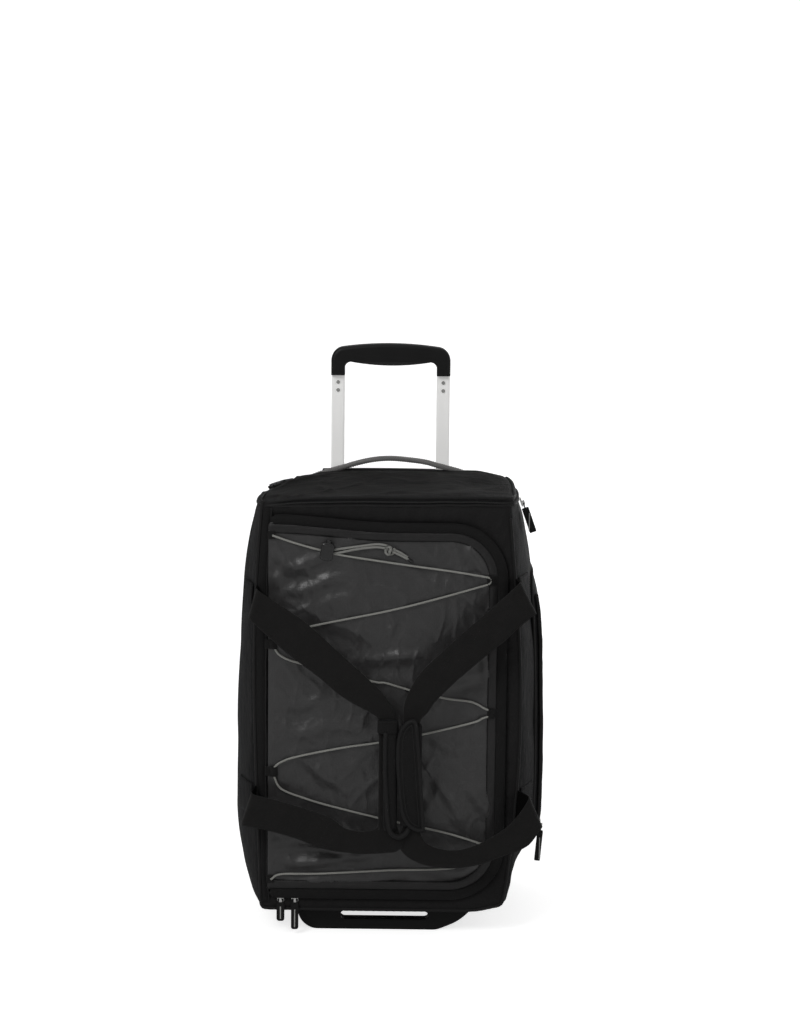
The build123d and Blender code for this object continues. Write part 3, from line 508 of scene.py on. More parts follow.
MATERIALS = {
    # colour, roughness, sheen, weave size, weave bump, slub, specular, pucker
    fabric: {
        "body_fabric": ((0.0100, 0.0097, 0.0098), 0.78, 0.02, 1.0, 0.4, 0.5, 0.16, 0.5),
        "side_fabric": ((0.0066, 0.0066, 0.0069), 0.72, 0.01, 1.2, 0.5, 0.5, 0.12, 0.5),
        "top_fabric": ((0.0058, 0.0055, 0.0055), 0.72, 0.0, 1.1, 0.45, 0.5, 0.10, 0.5),
        "flap_fabric": ((0.0078, 0.0076, 0.0076), 0.8, 0.03, 0.9, 0.35, 0.4, 0.16, 0.2),
        "lining": ((0.045, 0.045, 0.048), 0.75, 0.15, 0.7, 0.25, 0.4, 0.3, 0.2),
        "piping": ((0.0092, 0.0090, 0.0090), 0.7, 0.02, 1.3, 0.5, 0.3, 0.22, 0.0),
    },
    # colour, specular, coat
    tarpaulin: {
        "tarpaulin": ((0.0165, 0.0158, 0.0160), 0.62, 0.18),
        "tarpaulin_edge": ((0.0095, 0.0090, 0.0092), 0.34, 0.04),
    },
    # colour, rib size, roughness, rib bump, specular, sheen
    webbing: {
        "webbing": ((0.0082, 0.0078, 0.0075), 2.6, 0.78, 0.8, 0.16, 0.05),
        "webbing_small": ((0.0095, 0.0092, 0.009), 1.8, 0.78, 0.6, 0.16, 0.05),
        "zip_tape": ((0.0085, 0.0085, 0.0088), 1.2, 0.78, 0.6, 0.15, 0.04),
        # painted shade: near-black webbing for the back stretch of the handle arms, which lies in
        # shadow
        "webbing_inner": ((0.0035, 0.0034, 0.0033), 2.6, 0.9, 0.8, 0.04, 0.0),
        "thread": ((0.015, 0.015, 0.015), 1.0, 0.8, 0.4, 0.15, 0.0),
    },
    # colour, rib size, roughness
    ribbed_rubber: {
        "cord": ((0.27, 0.27, 0.25), 1.6, 0.55),
        "cord_tail": ((0.23, 0.23, 0.215), 1.6, 0.55),
        "grab_rubber": ((0.19, 0.187, 0.183), 2.4, 0.55),
    },
    # colour, roughness, grain bump, grain scale, specular, scuff
    plastic: {
        "zip_coil": ((0.009, 0.009, 0.009), 0.45, 0.2, 1500.0, 0.3, 0.3),
        "gloss_black": ((0.009, 0.009, 0.009), 0.16, 0.06, 600.0, 0.6, 0.2),
        "black_plastic": ((0.009, 0.009, 0.009), 0.52, 0.45, 1500.0, 0.3, 0.3),
        "foot": ((0.006, 0.006, 0.006), 0.5, 0.4, 1500.0, 0.2, 0.3),
        "grip_shell": ((0.0055, 0.0055, 0.0056), 0.42, 0.35, 1500.0, 0.22, 0.3),
        "board": ((0.02, 0.02, 0.02), 0.6, 0.3, 400.0, 0.5, 0.3),
        "hub": ((0.045, 0.045, 0.047), 0.4, 0.3, 1500.0, 0.5, 0.3),
        "tyre": ((0.014, 0.014, 0.014), 0.7, 0.6, 700.0, 0.5, 0.3),
        "pull_rubber": ((0.006, 0.006, 0.006), 0.5, 0.4, 800.0, 0.2, 0.3),
        "pull_line": ((0.36, 0.36, 0.35), 0.5, 0.3, 1500.0, 0.5, 0.3),
    },
    # colour, roughness, size of the drawn lines (0 for none), bump
    metal: {
        "aluminium": ((0.83, 0.83, 0.81), 0.42, 3.2, 0.25),
        "steel": ((0.50, 0.50, 0.49), 0.32, 0, 0.2),
        "nickel": ((0.62, 0.62, 0.61), 0.28, 0, 0.2),
        "tube": ((0.86, 0.86, 0.85), 0.5, 2.6, 0.18),
        "black_metal": ((0.06, 0.06, 0.06), 0.35, 0, 0.2),
    },
}
for recipe, table in MATERIALS.items():
    for key, values in table.items():
        recipe(key, *values)
# painted light: the trolley tubes are pale, not mirror bright, and glow faintly to stand in for the
# bright studio reflections they would catch
feed(MAT["tube"].node_tree.nodes["Principled BSDF"],
     {"Metallic": 0.0, "Emission Color": (1.0, 0.99, 0.97, 1), "Emission Strength": 0.20})

# ---------------------------------------------------------------- form of the bag (mm)
FRONT, BACK = -28.0, 204.0
HINGE = 172.0  # the top flap ends here
BASE = 31.0
BASE_RADIUS = 5.0
OPEN = 521.5  # the body stops at this height
BACK_RADIUS = 16.0
CAP_RADIUS = 11.0  # upper long edges
TOP_RADIUS = 14.0  # front corners of the top, seen from above


def fit(heights, widths, degree):
    return np.polyfit((np.array(heights, float) - 280) / 250, widths, degree)


# half widths by height: at mid depth, and at the front edge on each side
MIDDLE_FIT = fit(
    [31, 50, 70, 100, 150, 211, 281, 360, 399, 438, 468, 487, 507, 530],
    [164, 170, 175, 179.3, 182.6, 182.3, 181, 178.4, 175.8, 171.6, 167.0, 163.8, 159.5, 153.0],
    5)
EDGE_HEIGHTS = [31, 100, 175, 250, 324, 416, 470, 517, 530]
LEFT_FIT = fit(EDGE_HEIGHTS, [147.5, 150, 152.5, 155, 156, 154, 151, 147.5, 146], 4)
RIGHT_FIT = fit(EDGE_HEIGHTS, [141.5, 148.5, 157.5, 160, 157.5, 152.5, 148, 143.5, 142.5], 4)


def half_width(z, y, side):
    """Half width of the body at height z and depth y; side is -1 left, +1 right."""
    level = (np.asarray(z, float) - 280) / 250
    middle = np.polyval(MIDDLE_FIT, level)
    edge = np.polyval(LEFT_FIT if side < 0 else RIGHT_FIT, level)
    y = np.asarray(y, float)
    belly = np.sin(np.pi / 2 * np.clip((y - FRONT) / 108, 0, 1)) ** 0.8
    taper = 13 * np.clip((y - 80) / 124, 0, 1) ** 2.4
    # the back edge rolls over into the back panel
    past = np.clip(y - (BACK - BACK_RADIUS), 0, BACK_RADIUS)
    roll = BACK_RADIUS - np.sqrt(np.maximum(BACK_RADIUS * BACK_RADIUS - past * past, 0))
    # the front edge is pulled in slightly at its seam
    seam = np.clip(-22.0 - y, 0, 6.0)
    # the right side tucks in under the pocket
    tuck = 13.0 * smooth_step(112, 62, z) * smooth_step(-26, 20, y) if side > 0 else 0.0
    # the top corners round over
    high = 3.5 * smooth_step(500, 526, z) * smooth_step(0, 60, y)
    return edge + (middle - edge) * belly - taper - roll * 0.9 - 0.12 * seam - tuck - high


def top_z(x, y):
    """Height of the top surface."""
    x = np.asarray(x, float)
    y = np.asarray(y, float)
    crown = 3.4 + 3.0 * smooth_step(118, 60, -x) * smooth_step(146, 118, x)
    ridge = crown * np.exp(-((y - 150) / 70) ** 2) + 1.6 * np.exp(-((y + 28) / 30) ** 2)
    corners = 8.5 * smooth_step(87, 104, -x) + 4.0 * smooth_step(106, 138, x)
    shoulder = ((5.0 - 2.8 * smooth_step(0, 60, x)) * np.abs(np.clip(x / 150, -1, 1)) ** 3.2
                + 2.0 * smooth_step(105, 150, -x))
    return 527.6 + ridge + 0.012 * x - shoulder - smooth_step(166, 182, y) * corners


def sink_corners(points):
    """Sink the soft top towards its rear corners, in place."""
    x, y, z = points[..., 0], points[..., 1], points[..., 2]
    drop = 11.0 * smooth_step(104, 150, -x) + 1.5 * smooth_step(110, 150, x)
    points[..., 2] -= drop * smooth_step(35, 160, y) * smooth_step(430, 520, z)


def side_section(y, side):
    """One side at depth y, from its top edge down round the base corner.

    Each row is a point and its outward normal.
    """
    rows = [(side * half_width(z, y, side), y, z, side, 0, 0)
            for z in np.linspace(OPEN, BASE + BASE_RADIUS, 84)]
    for a in np.linspace(0, np.pi / 2, 11)[1:]:
        z = BASE + BASE_RADIUS - BASE_RADIUS * np.sin(a)
        x = side * (half_width(z, y, side) - BASE_RADIUS * (1 - np.cos(a)))
        rows.append((x, y, z, side * np.cos(a), 0, -np.sin(a)))
    return rows


def wrap_section(y):
    """Points and normals from the left top edge, under the base, to the right one."""
    left, right = side_section(y, -1), side_section(y, 1)
    base = [(x, y, BASE - 0.6 * np.cos(np.clip(x / 150, -1, 1) * np.pi / 2), 0, 0, -1)
            for x in np.linspace(left[-1][0], right[-1][0], 70)[1:]]
    rows = np.array(left + base + right[-2::-1], float)
    # the bottom corners sit a little higher than the middle of the base
    x, z = rows[:, 0], rows[:, 2]
    rows[:, 2] += ((7.5 * smooth_step(100, 150, x) + 5.5 * smooth_step(140, 158, -x))
                   * smooth_step(72, 31, z))
    return rows


def cap_section(y):
    """Section of the top at depth y, from the left edge over to the right edge."""
    radius, high = CAP_RADIUS, 524
    turns = np.linspace(0, np.pi / 2, 9)

    def corner(a, side):
        z = float(top_z(side * 150, y)) - radius + radius * np.sin(a)
        return side * (half_width(min(z, high), y, side) - radius * (1 - np.cos(a))), y, z

    points = [(-half_width(OPEN, y, -1), y, OPEN)]
    for a in turns:
        x, _, z = corner(a, -1)
        points.append((x, y, max(z, OPEN + 0.3 * len(points))))
    x_end = half_width(high, y, 1) - radius
    for x in np.linspace(points[-1][0], x_end, 70)[1:-1]:
        points.append((x, y, float(top_z(x, y))))
    points += [corner(a, 1) for a in turns[::-1]]
    points.append((half_width(OPEN, y, 1), y, OPEN))
    points = np.array(points, float)
    points[:, 2] = np.maximum(points[:, 2], OPEN)
    return points


# ---------------------------------------------------------------- bag shell
# sides and base: one wrapped panel with the top left open
wrap_depths = np.r_[np.linspace(FRONT, -16, 8), np.linspace(-12, HINGE, 62),
                    np.linspace(175, BACK, 18)]
wrap_rows = np.array([wrap_section(float(y)) for y in wrap_depths])
wrap_grid = wrap_rows[..., :3].shape
wrap = wrap_rows[..., :3].reshape(-1, 3)
wrap_y, wrap_z = wrap[:, 1], wrap[:, 2]
slack = (smooth_step(FRONT, -8, wrap_y) * (1 - smooth_step(196, BACK, wrap_y))
         * (1 - 0.75 * smooth_step(505, 521, wrap_z)) * (1 - 0.8 * smooth_step(60, 34, wrap_z)))
wrinkle = 1.5 * soft_noise(wrap, 95.0, 0.3) + 0.75 * soft_noise(wrap * [1, 1, 0.55], 34.0, 3.4)
# creases pull along the front and back seams
near_seam = np.exp(-((wrap_y + 28) / 16.0) ** 2) + np.exp(-((wrap_y - 196) / 14.0) ** 2)
wrinkle += near_seam * 0.55 * np.sin(wrap_z / 4.2 + 3 * soft_noise(wrap, 60.0, 9.0, 1))
# broad slump folds on the sides
wrinkle += (0.66 * np.sin(wrap_z / 23.0 + wrap_y / 40.0 + 2.2 * soft_noise(wrap, 120.0, 5.0, 1))
            * smooth_step(120, 40, np.abs(wrap_y - 80)))
wrap = wrap + wrap_rows[..., 3:].reshape(-1, 3) * (slack * wrinkle)[:, None]
wrap_uv = wrap[:, [1, 2]]
sink_corners(wrap)
wrap_panel = make("wrap_panel", wrap, grid_faces(*wrap_grid[:2], flip=True), "side_fabric",
                  wrap_uv)
outward(wrap_panel)
wrap = wrap.reshape(wrap_grid)

# strip of the top behind the top flap
rear_depths = np.r_[np.linspace(HINGE, 186, 8), np.linspace(188, BACK, 12)]
rear = np.array([cap_section(float(y)) for y in rear_depths])
for row, y in zip(rear, rear_depths):
    past = max(0.0, y - (BACK - BACK_RADIUS))
    roll = (BACK_RADIUS - math.sqrt(max(0, BACK_RADIUS ** 2 - past * past))) * 0.45
    row[:, 2] = np.where(row[:, 2] > OPEN + 0.5, row[:, 2] - roll, row[:, 2])
sink_corners(rear)
rear_top = make("rear_top", rear, grid_faces(*rear.shape[:2]), "top_fabric", rear[..., :2])
outward(rear_top)

# the back panel closes the wrap with rings that shrink to its middle
back_loop = np.vstack([wrap[-1], rear[-1][::-1][1:-1]])
back_centre = np.array([0.0, BACK, 279.0])
back_rings = 27
rings = []
for k in range(back_rings):
    t = k / (back_rings - 1)
    ring = back_centre + (back_loop - back_centre) * (1 - t * 0.985)
    ring[:, 1] = BACK + 1.2 * math.sin(math.pi * min(1, t * 1.4) * 0.5)
    rings.append(ring)
back = np.array(rings).reshape(-1, 3)
ring_index = np.repeat(np.arange(back_rings), len(back_loop))
back[:, 1] += 0.5 * soft_noise(back, 60.0, 2.2) * smooth_step(0, 1, ring_index / 2.0)
back_panel = make("back_panel", back, grid_faces(back_rings, len(back_loop), True, flip=True),
                  "body_fabric", back[:, [0, 2]])
outward(back_panel)

# ---- the front face works in polar form about FACE_CENTRE, in (x, z)
FACE_CENTRE = np.array([-3.0, 272.0])
LID_LEFT, LID_RIGHT, LID_BOTTOM, LID_TOP = -139.0, 132.0, 55.0, 489.0
LID_RADIUS_RIGHT, LID_RADIUS_LEFT = 56.0, 3.0

# directions spread evenly round a tall rectangle
_up, _over = np.arange(150) / 150, np.arange(90) / 90
_rectangle = np.vstack([
    np.stack([137 + 0 * _up, -220 + 440 * _up], 1), np.stack([137 - 274 * _over, 220 + 0 * _over], 1),
    np.stack([-137 + 0 * _up, 220 - 440 * _up], 1),
    np.stack([-137 + 274 * _over, -220 + 0 * _over], 1)])
ANGLES = np.unwrap(np.arctan2(_rectangle[:, 1], _rectangle[:, 0]))
DIRECTIONS = np.stack([np.cos(ANGLES), np.sin(ANGLES)], 1)
SPOKES = len(ANGLES)


def on_face(radii):
    return FACE_CENTRE + DIRECTIONS * radii[:, None]


def radii_to(loop):
    """Distance from the face centre to a star-shaped loop along each direction."""
    arm = loop - FACE_CENTRE
    angle = np.unwrap(np.arctan2(arm[:, 1], arm[:, 0]))
    radius = np.hypot(arm[:, 0], arm[:, 1])
    wanted = np.mod(ANGLES - angle[0], 2 * np.pi) + angle[0]
    return np.interp(wanted, np.r_[angle, angle[0] + 2 * np.pi], np.r_[radius, radius[0]])


def lid_radii(grow, left_grow=0.0):
    """Radii of the lid's D outline, grown outwards; small corners left, large right."""
    left, right = LID_LEFT - left_grow, LID_RIGHT + grow
    bottom, top = LID_BOTTOM - grow, LID_TOP + grow
    large, small = LID_RADIUS_RIGHT + grow, max(LID_RADIUS_LEFT + grow, 1.5)
    loop = rounded_outline([(right - large, bottom + large, large, 40),
                            (right - large, top - large, large, 40),
                            (left + small, top - small, small, 14),
                            (left + small, bottom + small, small, 14)], 420)
    loop[:, 1] += 9.0 * smooth_step(10, -139, loop[:, 0]) * smooth_step(370, 489, loop[:, 1])
    return radii_to(loop)


# front frame: the padded rim between the lid opening and the edge of the bag
outer = wrap_section(FRONT)[:, [0, 2]]
top_line = np.stack([np.linspace(outer[-1, 0], outer[0, 0], 60)[1:-1], np.full(58, OPEN)], 1)
outer_loop = np.vstack([outer, top_line])
# start the loop at the lower right, where the directions start
arm = outer_loop - FACE_CENTRE
first = np.argmin(np.abs(np.arctan2(arm[:, 1], arm[:, 0]) + math.pi / 4))
outer_radii = radii_to(np.roll(outer_loop, -first, axis=0))
opening_radii = lid_radii(5.8, 5.8)
rim_rings = 15
rings = []
for k in range(rim_rings):
    t = k / (rim_rings - 1)
    ring = on_face(opening_radii * (1 - t) + outer_radii * t)
    bulge = (2.4 * np.sin(np.pi * t) ** 0.8
             * np.clip((outer_radii - opening_radii) / 18.0, 0.2, 1.6))
    rings.append(columns(ring[:, 0], -28.2 - bulge, ring[:, 1]))
rim = np.array(rings).reshape(-1, 3)
crown = np.sin(np.pi * np.repeat(np.arange(rim_rings) / (rim_rings - 1), SPOKES))
along_rim = np.tile(distance_along(on_face(outer_radii)), rim_rings)
rim[:, 1] -= crown * (0.8 * soft_noise(rim, 30.0, 4.0)
                      + 0.45 * np.sin(along_rim / 3.4 + 3 * soft_noise(rim, 50.0, 6.0, 1)))
front_frame = make("front_frame", rim, grid_faces(rim_rings, SPOKES, True), "body_fabric",
                   rim[:, [0, 2]])
outward(front_frame)

# weld the four panels into one shell, then give it thickness
shell = join("bag_shell", [wrap_panel, rear_top, back_panel, front_frame])
shell.modifiers.new("weld", "WELD").merge_threshold = 0.0006
apply_mods(shell)
shade_smooth(shell.data)
bm = bmesh.new()
bm.from_mesh(shell.data)
bmesh.ops.recalc_face_normals(bm, faces=bm.faces)
bm.to_mesh(shell.data)
bm.free()
outward(shell)
pad(shell, 3.2, lining_slot=4)
put(shell, "bag", "bag_body")


# ---------------------------------------------------------------- piping and top zip
def top_ring(z, out, y_end, seed, amp):
    """Path round the top band: left side forward, across the front, right side back."""
    level = min(z, 526)
    y_turn = FRONT + TOP_RADIUS
    turns = np.linspace(0, np.pi / 2, 7)
    points = [(-half_width(level, y, -1) - out, y, z) for y in np.linspace(y_end, y_turn, 34)]
    x_left, x_right = points[-1][0], half_width(level, y_turn, 1) + out
    for a in turns[1:]:
        points.append((x_left + TOP_RADIUS * (1 - math.cos(a)),
                       y_turn - TOP_RADIUS * math.sin(a) - out, z))
    for x in np.linspace(points[-1][0], x_right - TOP_RADIUS, 44)[1:]:
        points.append((x, FRONT - out, z))
    for a in turns[-2::-1]:
        points.append((x_right - TOP_RADIUS * (1 - math.cos(a)),
                       y_turn - TOP_RADIUS * math.sin(a) - out, z))
    for y in np.linspace(y_turn, y_end, 34)[1:]:
        points.append((half_width(level, y, 1) + out, y, z))
    ring = np.array(points, float)
    if z > 518:
        follow = 1.0 if z > 526.5 else 0.75
        ring[:, 2] += (top_z(ring[:, 0], ring[:, 1]) - 529.2) * follow
    else:
        ring[:, 2] += 0.012 * ring[:, 0]
    sink_corners(ring)
    ring[:, 2] += amp * soft_noise(ring, 42.0, seed)
    at_front = np.abs(ring[:, 1] - FRONT) < 3
    ring[:, 1] -= 0.5 * amp * soft_noise(ring, 30.0, seed + 5) * at_front
    return ring


back_ring = wrap[np.argmin(np.abs(wrap_depths - 193))]
put(join("body_piping", [
    tube("piping_front", columns(outer[:, 0], -28.6, outer[:, 1])[::4], 2.0, "piping",
         ripple=PIPING_RIPPLE),
    tube("piping_back", back_ring[::4], 2.0, "piping", ripple=PIPING_RIPPLE),
    tube("piping_top_low", top_ring(517.6, 1.4, HINGE, seed=1.0, amp=0.9), 1.9, "piping"),
]), "bag", None)

tape_low = top_ring(518.8, 1.0, HINGE, seed=1.0, amp=0.9)
tape_high = top_ring(525.6, 0.7, HINGE, seed=2.0, amp=0.7)
put(join("top_zip", [
    ribbon("top_zip_tape", tape_high, tape_low, "zip_tape", count=420, across=5, thick=0.9),
    tube("top_zip_coil", tape_low * 0.5 + tape_high * 0.5 + [0, -0.8, 0], 1.25, "zip_coil",
         count=1500, ripple=ripple(0.35, 1.6 / (2 * np.pi), 1)),
]), "bag", "top_zip_track")

# ---------------------------------------------------------------- top flap
flap_depths = np.r_[np.linspace(FRONT, -24, 5), np.linspace(-22, 171, 60)]
flap_columns, flap_edge = 84, 7.0
rows = []
for y in flap_depths:
    before = max(0.0, FRONT + TOP_RADIUS - y)
    pull_in = TOP_RADIUS - math.sqrt(max(0.0, TOP_RADIUS ** 2 - before * before))
    x_left, x_right = pull_in - half_width(526, y, -1), half_width(526, y, 1) - pull_in
    t = np.arange(flap_columns) / (flap_columns - 1)
    x = x_left + (x_right - x_left) * ((1 - np.cos(np.pi * t)) / 2 * 0.35 + t * 0.65)
    inside = np.minimum(np.minimum(x - x_left, x_right - x), y - FRONT)
    roll = np.maximum(0.0, flap_edge - inside)
    fall = (flap_edge - np.sqrt(np.maximum(0.0, flap_edge ** 2 - roll * roll))) * 0.75
    rows.append(columns(x, y, top_z(x, y) - fall))
flap = np.array(rows).reshape(-1, 3)
sink_corners(flap)
x, y = flap[:, 0], flap[:, 1]
inside = np.minimum(np.minimum(155 - np.abs(x), y - FRONT), 171 - y)
sheared = flap @ np.array([[0.80, 0.35, 0], [-0.35, 0.55, 0], [0, 0, 1.0]])
flap[:, 2] += smooth_step(0, 26, inside) * (
    1.6 * soft_noise(flap, 70.0, 8.0) + 1.0 * soft_noise(flap * [1, 0.6, 1], 26.0, 9.0)
    + 2.6 * crease_noise(sheared, 58.0, 4.2) ** 4 * smooth_step(-40, -110, x)
    + 1.8 * crease_noise(sheared, 70.0, 1.2) ** 4) - 0.4
flap_panel = make("top_flap_panel", flap, grid_faces(len(flap_depths), flap_columns),
                  "top_fabric", flap[:, :2])
outward(flap_panel)
pad(flap_panel, 3.4, lining_slot=1)
flap_piping = tube("top_flap_piping", top_ring(527.2, 0.2, HINGE - 1, seed=2.0, amp=0.7), 2.0,
                   "piping", ripple=PIPING_RIPPLE)
put(join("top_flap_soft", [flap_panel, flap_piping]), "top_lid", "top_flap")

# ---------------------------------------------------------------- front lid
FOLDS = [  # height, half width, centre line (x, z) of each crease in the slack tarpaulin
    (3.6, 11, [(-129.7, 423.9), (-113.4, 440.7), (-84.2, 454.1), (-49.3, 462.7)]),
    (3.0, 10, [(-136.8, 462.9), (-119.3, 451.3), (-101.7, 442.0)]),
    (3.0, 9, [(-98.1, 416.0), (-75.9, 430.5), (-47.9, 439.1)]),
    (3.2, 8, [(96.6, 464.3), (108.5, 444.4), (119.4, 420.8)]),
    (3.0, 8, [(76.0, 429.8), (95.0, 408.6), (116.3, 388.7)]),
    (3.8, 10, [(-23.7, 331.0), (4.4, 336.1), (37.3, 331.7)]),
    (1.6, 5, [(-2.0, 404.0), (2.8, 381.4), (-0.5, 359.9)]),
    (2.4, 8, [(61.3, 484.0), (82.6, 465.4), (87.6, 438.2)]),
    (2.6, 12, [(-136.4, 286.5), (-101.0, 279.7), (-65.7, 287.3)]),
    (2.6, 12, [(-130.4, 260.1), (-100.9, 244.8), (-65.5, 253.6), (-24.3, 261.3)]),
    (2.4, 10, [(-100.7, 214.6), (-77.0, 190.6), (-47.3, 178.8)]),
    (3.2, 9, [(94.5, 186.6), (110.2, 164.9), (124.8, 137.1)]),
    (3.2, 8, [(-135.9, 104.7), (-100.3, 110.0), (-64.7, 106.7), (-38.5, 96.0)]),
    (3.0, 7, [(-129.9, 92.5), (-88.3, 85.6), (-40.8, 91.1), (-14.7, 96.3)]),
    (2.6, 8, [(-118.1, 119.5), (-76.6, 115.1), (-40.9, 108.2)]),
    (2.0, 10, [(46.6, 240.5), (76.3, 226.3), (111.6, 231.6)]),
    (2.4, 10, [(53.0, 198.2), (77.0, 168.1), (91.7, 131.8)]),
    (2.4, 10, [(-101.3, 346.9), (-77.7, 325.6), (-42.4, 316.4)]),
    (2.2, 9, [(63.6, 300.8), (98.6, 313.2), (122.0, 323.1)]),
    (2.2, 7, [(-123.9, 68.0), (-64.4, 63.8), (18.8, 69.8)]),
    (2.4, 8, [(42.5, 79.9), (84.1, 75.5), (113.7, 85.6)]),
    (2.2, 8, [(98.0, 361.1), (112.4, 337.3), (120.0, 301.5)]),
    (2.0, 11, [(-101.5, 394.6), (-54.5, 373.7), (-19.2, 359.7)]),
]


def lid_y(x, z):
    """Front surface of the lid without its folds, crowned forward."""
    x, z = np.asarray(x, float), np.asarray(z, float)
    across = np.clip(1 - ((x + 3.5) / 134) ** 2, 0, 1)
    upwards = np.clip(1 - ((z - 272) / 214) ** 2, 0, 1)
    return -33.0 - 3.4 * (across ** 0.7) * (upwards ** 0.6)


def fold_height(x, z):
    """Sum of soft asymmetric folds: a raised lip with a hollow on its lower side."""
    x, z = np.asarray(x, float), np.asarray(z, float)
    height = np.zeros_like(x)
    for lip, half, controls in FOLDS:
        line, _ = catmull(controls, 24)
        nearest = np.full(x.shape, 1e9)
        signed, place = np.zeros_like(x), np.zeros_like(x)
        for i, (a, b) in enumerate(zip(line[:-1], line[1:])):
            step = b - a
            t = np.clip(((x - a[0]) * step[0] + (z - a[1]) * step[1]) / (step @ step), 0, 1)
            off_x, off_z = x - (a[0] + step[0] * t), z - (a[1] + step[1] * t)
            gap = np.hypot(off_x, off_z)
            closer = gap < nearest
            nearest = np.where(closer, gap, nearest)
            sign = np.sign(step[0] * off_z - step[1] * off_x) * (1 if step[0] >= 0 else -1)
            signed = np.where(closer, sign * gap, signed)
            place = np.where(closer, (i + t) / (len(line) - 1), place)
        fade = np.sin(np.pi * np.clip(place * 0.9 + 0.05, 0, 1)) ** 0.7
        u = signed / half
        height += lip * fade * (0.9 * np.exp(-(u * 1.5 - 0.35) ** 2)
                                - 0.75 * np.exp(-(u * 1.1 + 1.25) ** 2))
    return height


lid_rings = 85
lid_edge = lid_radii(-0.3)
rings = []
for k in range(lid_rings):
    ring = on_face(lid_edge * (k / (lid_rings - 1)))
    rings.append(columns(ring[:, 0], lid_y(ring[:, 0], ring[:, 1]), ring[:, 1]))
lid = np.array(rings).reshape(-1, 3)
out_share = np.repeat(np.arange(lid_rings) / (lid_rings - 1), SPOKES)
crumple = 0.4 + 0.6 * smooth_step(-0.2, 0.5, soft_noise(lid, 110.0, 12.0))
folds = fold_height(lid[:, 0] + 9 * soft_noise(lid, 60.0, 21.0, 1),
                    lid[:, 2] + 9 * soft_noise(lid, 60.0, 27.0, 1))
lid[:, 1] -= (1 - smooth_step(0.93, 1.0, out_share)) * (
    1.6 * soft_noise(lid, 75.0, 3.3) + 1.8 * crease_noise(lid, 62.0, 1.7) ** 3 * crumple
    + 1.0 * crease_noise(lid * [1.3, 1.0, 0.8], 27.0, 6.1) ** 3
    + 0.35 * soft_noise(lid, 13.0, 2.0) + folds)
lid[:, 1] = np.clip(lid[:, 1], -44.0, -30.5)
lid_panel = make("lid_tarp", lid, grid_faces(lid_rings, SPOKES, True), "tarpaulin",
                 lid[:, [0, 2]])
outward(lid_panel)
pad(lid_panel, 3.0, lining_slot=1)
put(lid_panel, "lid", "main_lid")


def open_spokes(radii):
    """Indices of the directions that clear the hinge side, in running order."""
    clear = on_face(radii)[:, 0] > LID_LEFT + 3.0
    return (np.where(~clear)[0][-1] + 1 + np.arange(int(clear.sum()))) % SPOKES


def band(name, inner, outer, y, material, thick, lift, steps, wave, seed):
    """Strip along the D between two offsets, open on the hinge side."""
    inner_radii, outer_radii = lid_radii(inner), lid_radii(outer)
    spokes = open_spokes(inner_radii)
    rows = []
    for k in range(steps + 1):
        t = k / steps
        row = on_face(inner_radii * (1 - t) + outer_radii * t)[spokes]
        rows.append(columns(row[:, 0], y - lift * math.sin(math.pi * t), row[:, 1]))
    verts = np.array(rows).reshape(-1, 3)
    verts[:, 1] -= wave * soft_noise(verts, 24.0, seed)
    along = distance_along(on_face(inner_radii)[spokes])
    uv = np.stack([np.tile(along, steps + 1),
                   np.repeat(np.linspace(0, outer - inner, steps + 1), len(spokes))], 1)
    ob = make(name, verts, grid_faces(steps + 1, len(spokes)), material, uv)
    thicken(ob, thick)
    return ob


LID_SPOKES = open_spokes(lid_radii(-1.6))


def lid_path(grow, y):
    """Path along the D at an offset, open on the hinge side."""
    path = on_face(lid_radii(grow))[LID_SPOKES]
    return columns(path[:, 0], y, path[:, 1])


put(join("storm_flap_soft", [
    band("storm_flap_band", -2.0, 9.0, -35.0, "flap_fabric", thick=1.3, lift=1.3, steps=7,
         wave=0.5, seed=3.0),
    tube("storm_flap_bind", lid_path(8.8, -35.0)[::3], 0.9, "flap_fabric"),
    stitch_line("storm_flap_stitch", lid_path(0.2, -36.4)[::3]),
]), "lid", "storm_flap")

put(join("lid_border", [
    band("lid_border", -12.5, -1.5, -34.6, "tarpaulin_edge", thick=0.8, lift=1.0, steps=6,
         wave=0.4, seed=5.0),
    stitch_line("lid_border_stitch", lid_path(-12.0, -35.6)[::3]),
]), "lid", None)

# hinge side: cloth strip with piping and stitches along its inner edge
z = np.linspace(40, 514, 60)
upright = columns(0, 0, z)
hinge_in = columns(
    LID_LEFT - 1.2 - 1.8 * np.sin((z - 47) / 458 * np.pi) + 4.0 * smooth_step(420, 512, z)
    + 2.5 * smooth_step(90, 42, z) + 1.1 * soft_noise(upright, 42.0, 3.0), -31.0, z)
hinge_out = columns(2.2 - half_width(z, -28, -1) + 0.8 * soft_noise(upright, 50.0, 8.0), -30.0, z)
put(join("hinge_strip_soft", [
    ribbon("hinge_strip_cloth", hinge_out, hinge_in, "flap_fabric", count=160, across=7,
           thick=1.0, bow=1.2, wave=0.5, seed=2.0),
    tube("hinge_piping", hinge_in + [0.4, -0.5, 0], 1.2, "piping"),
    stitch_line("hinge_stitch", hinge_in + [-3.4, -1.4, 0]),
]), "bag", "hinge_strip")

# main zip in the gap round the lid
SMALL_COIL = ripple(0.3, 1.7 / (2 * np.pi), 1)
put(join("main_zip", [
    band("main_zip_tape", 0.6, 6.4, -29.6, "zip_tape", thick=0.9, lift=0.2, steps=3,
         wave=0.1, seed=1.0),
    tube("main_zip_coil", lid_path(3.2, -30.6)[::2], 1.2, "zip_coil", sides=6, count=1500,
         ripple=SMALL_COIL),
]), "bag", "main_zip_track")

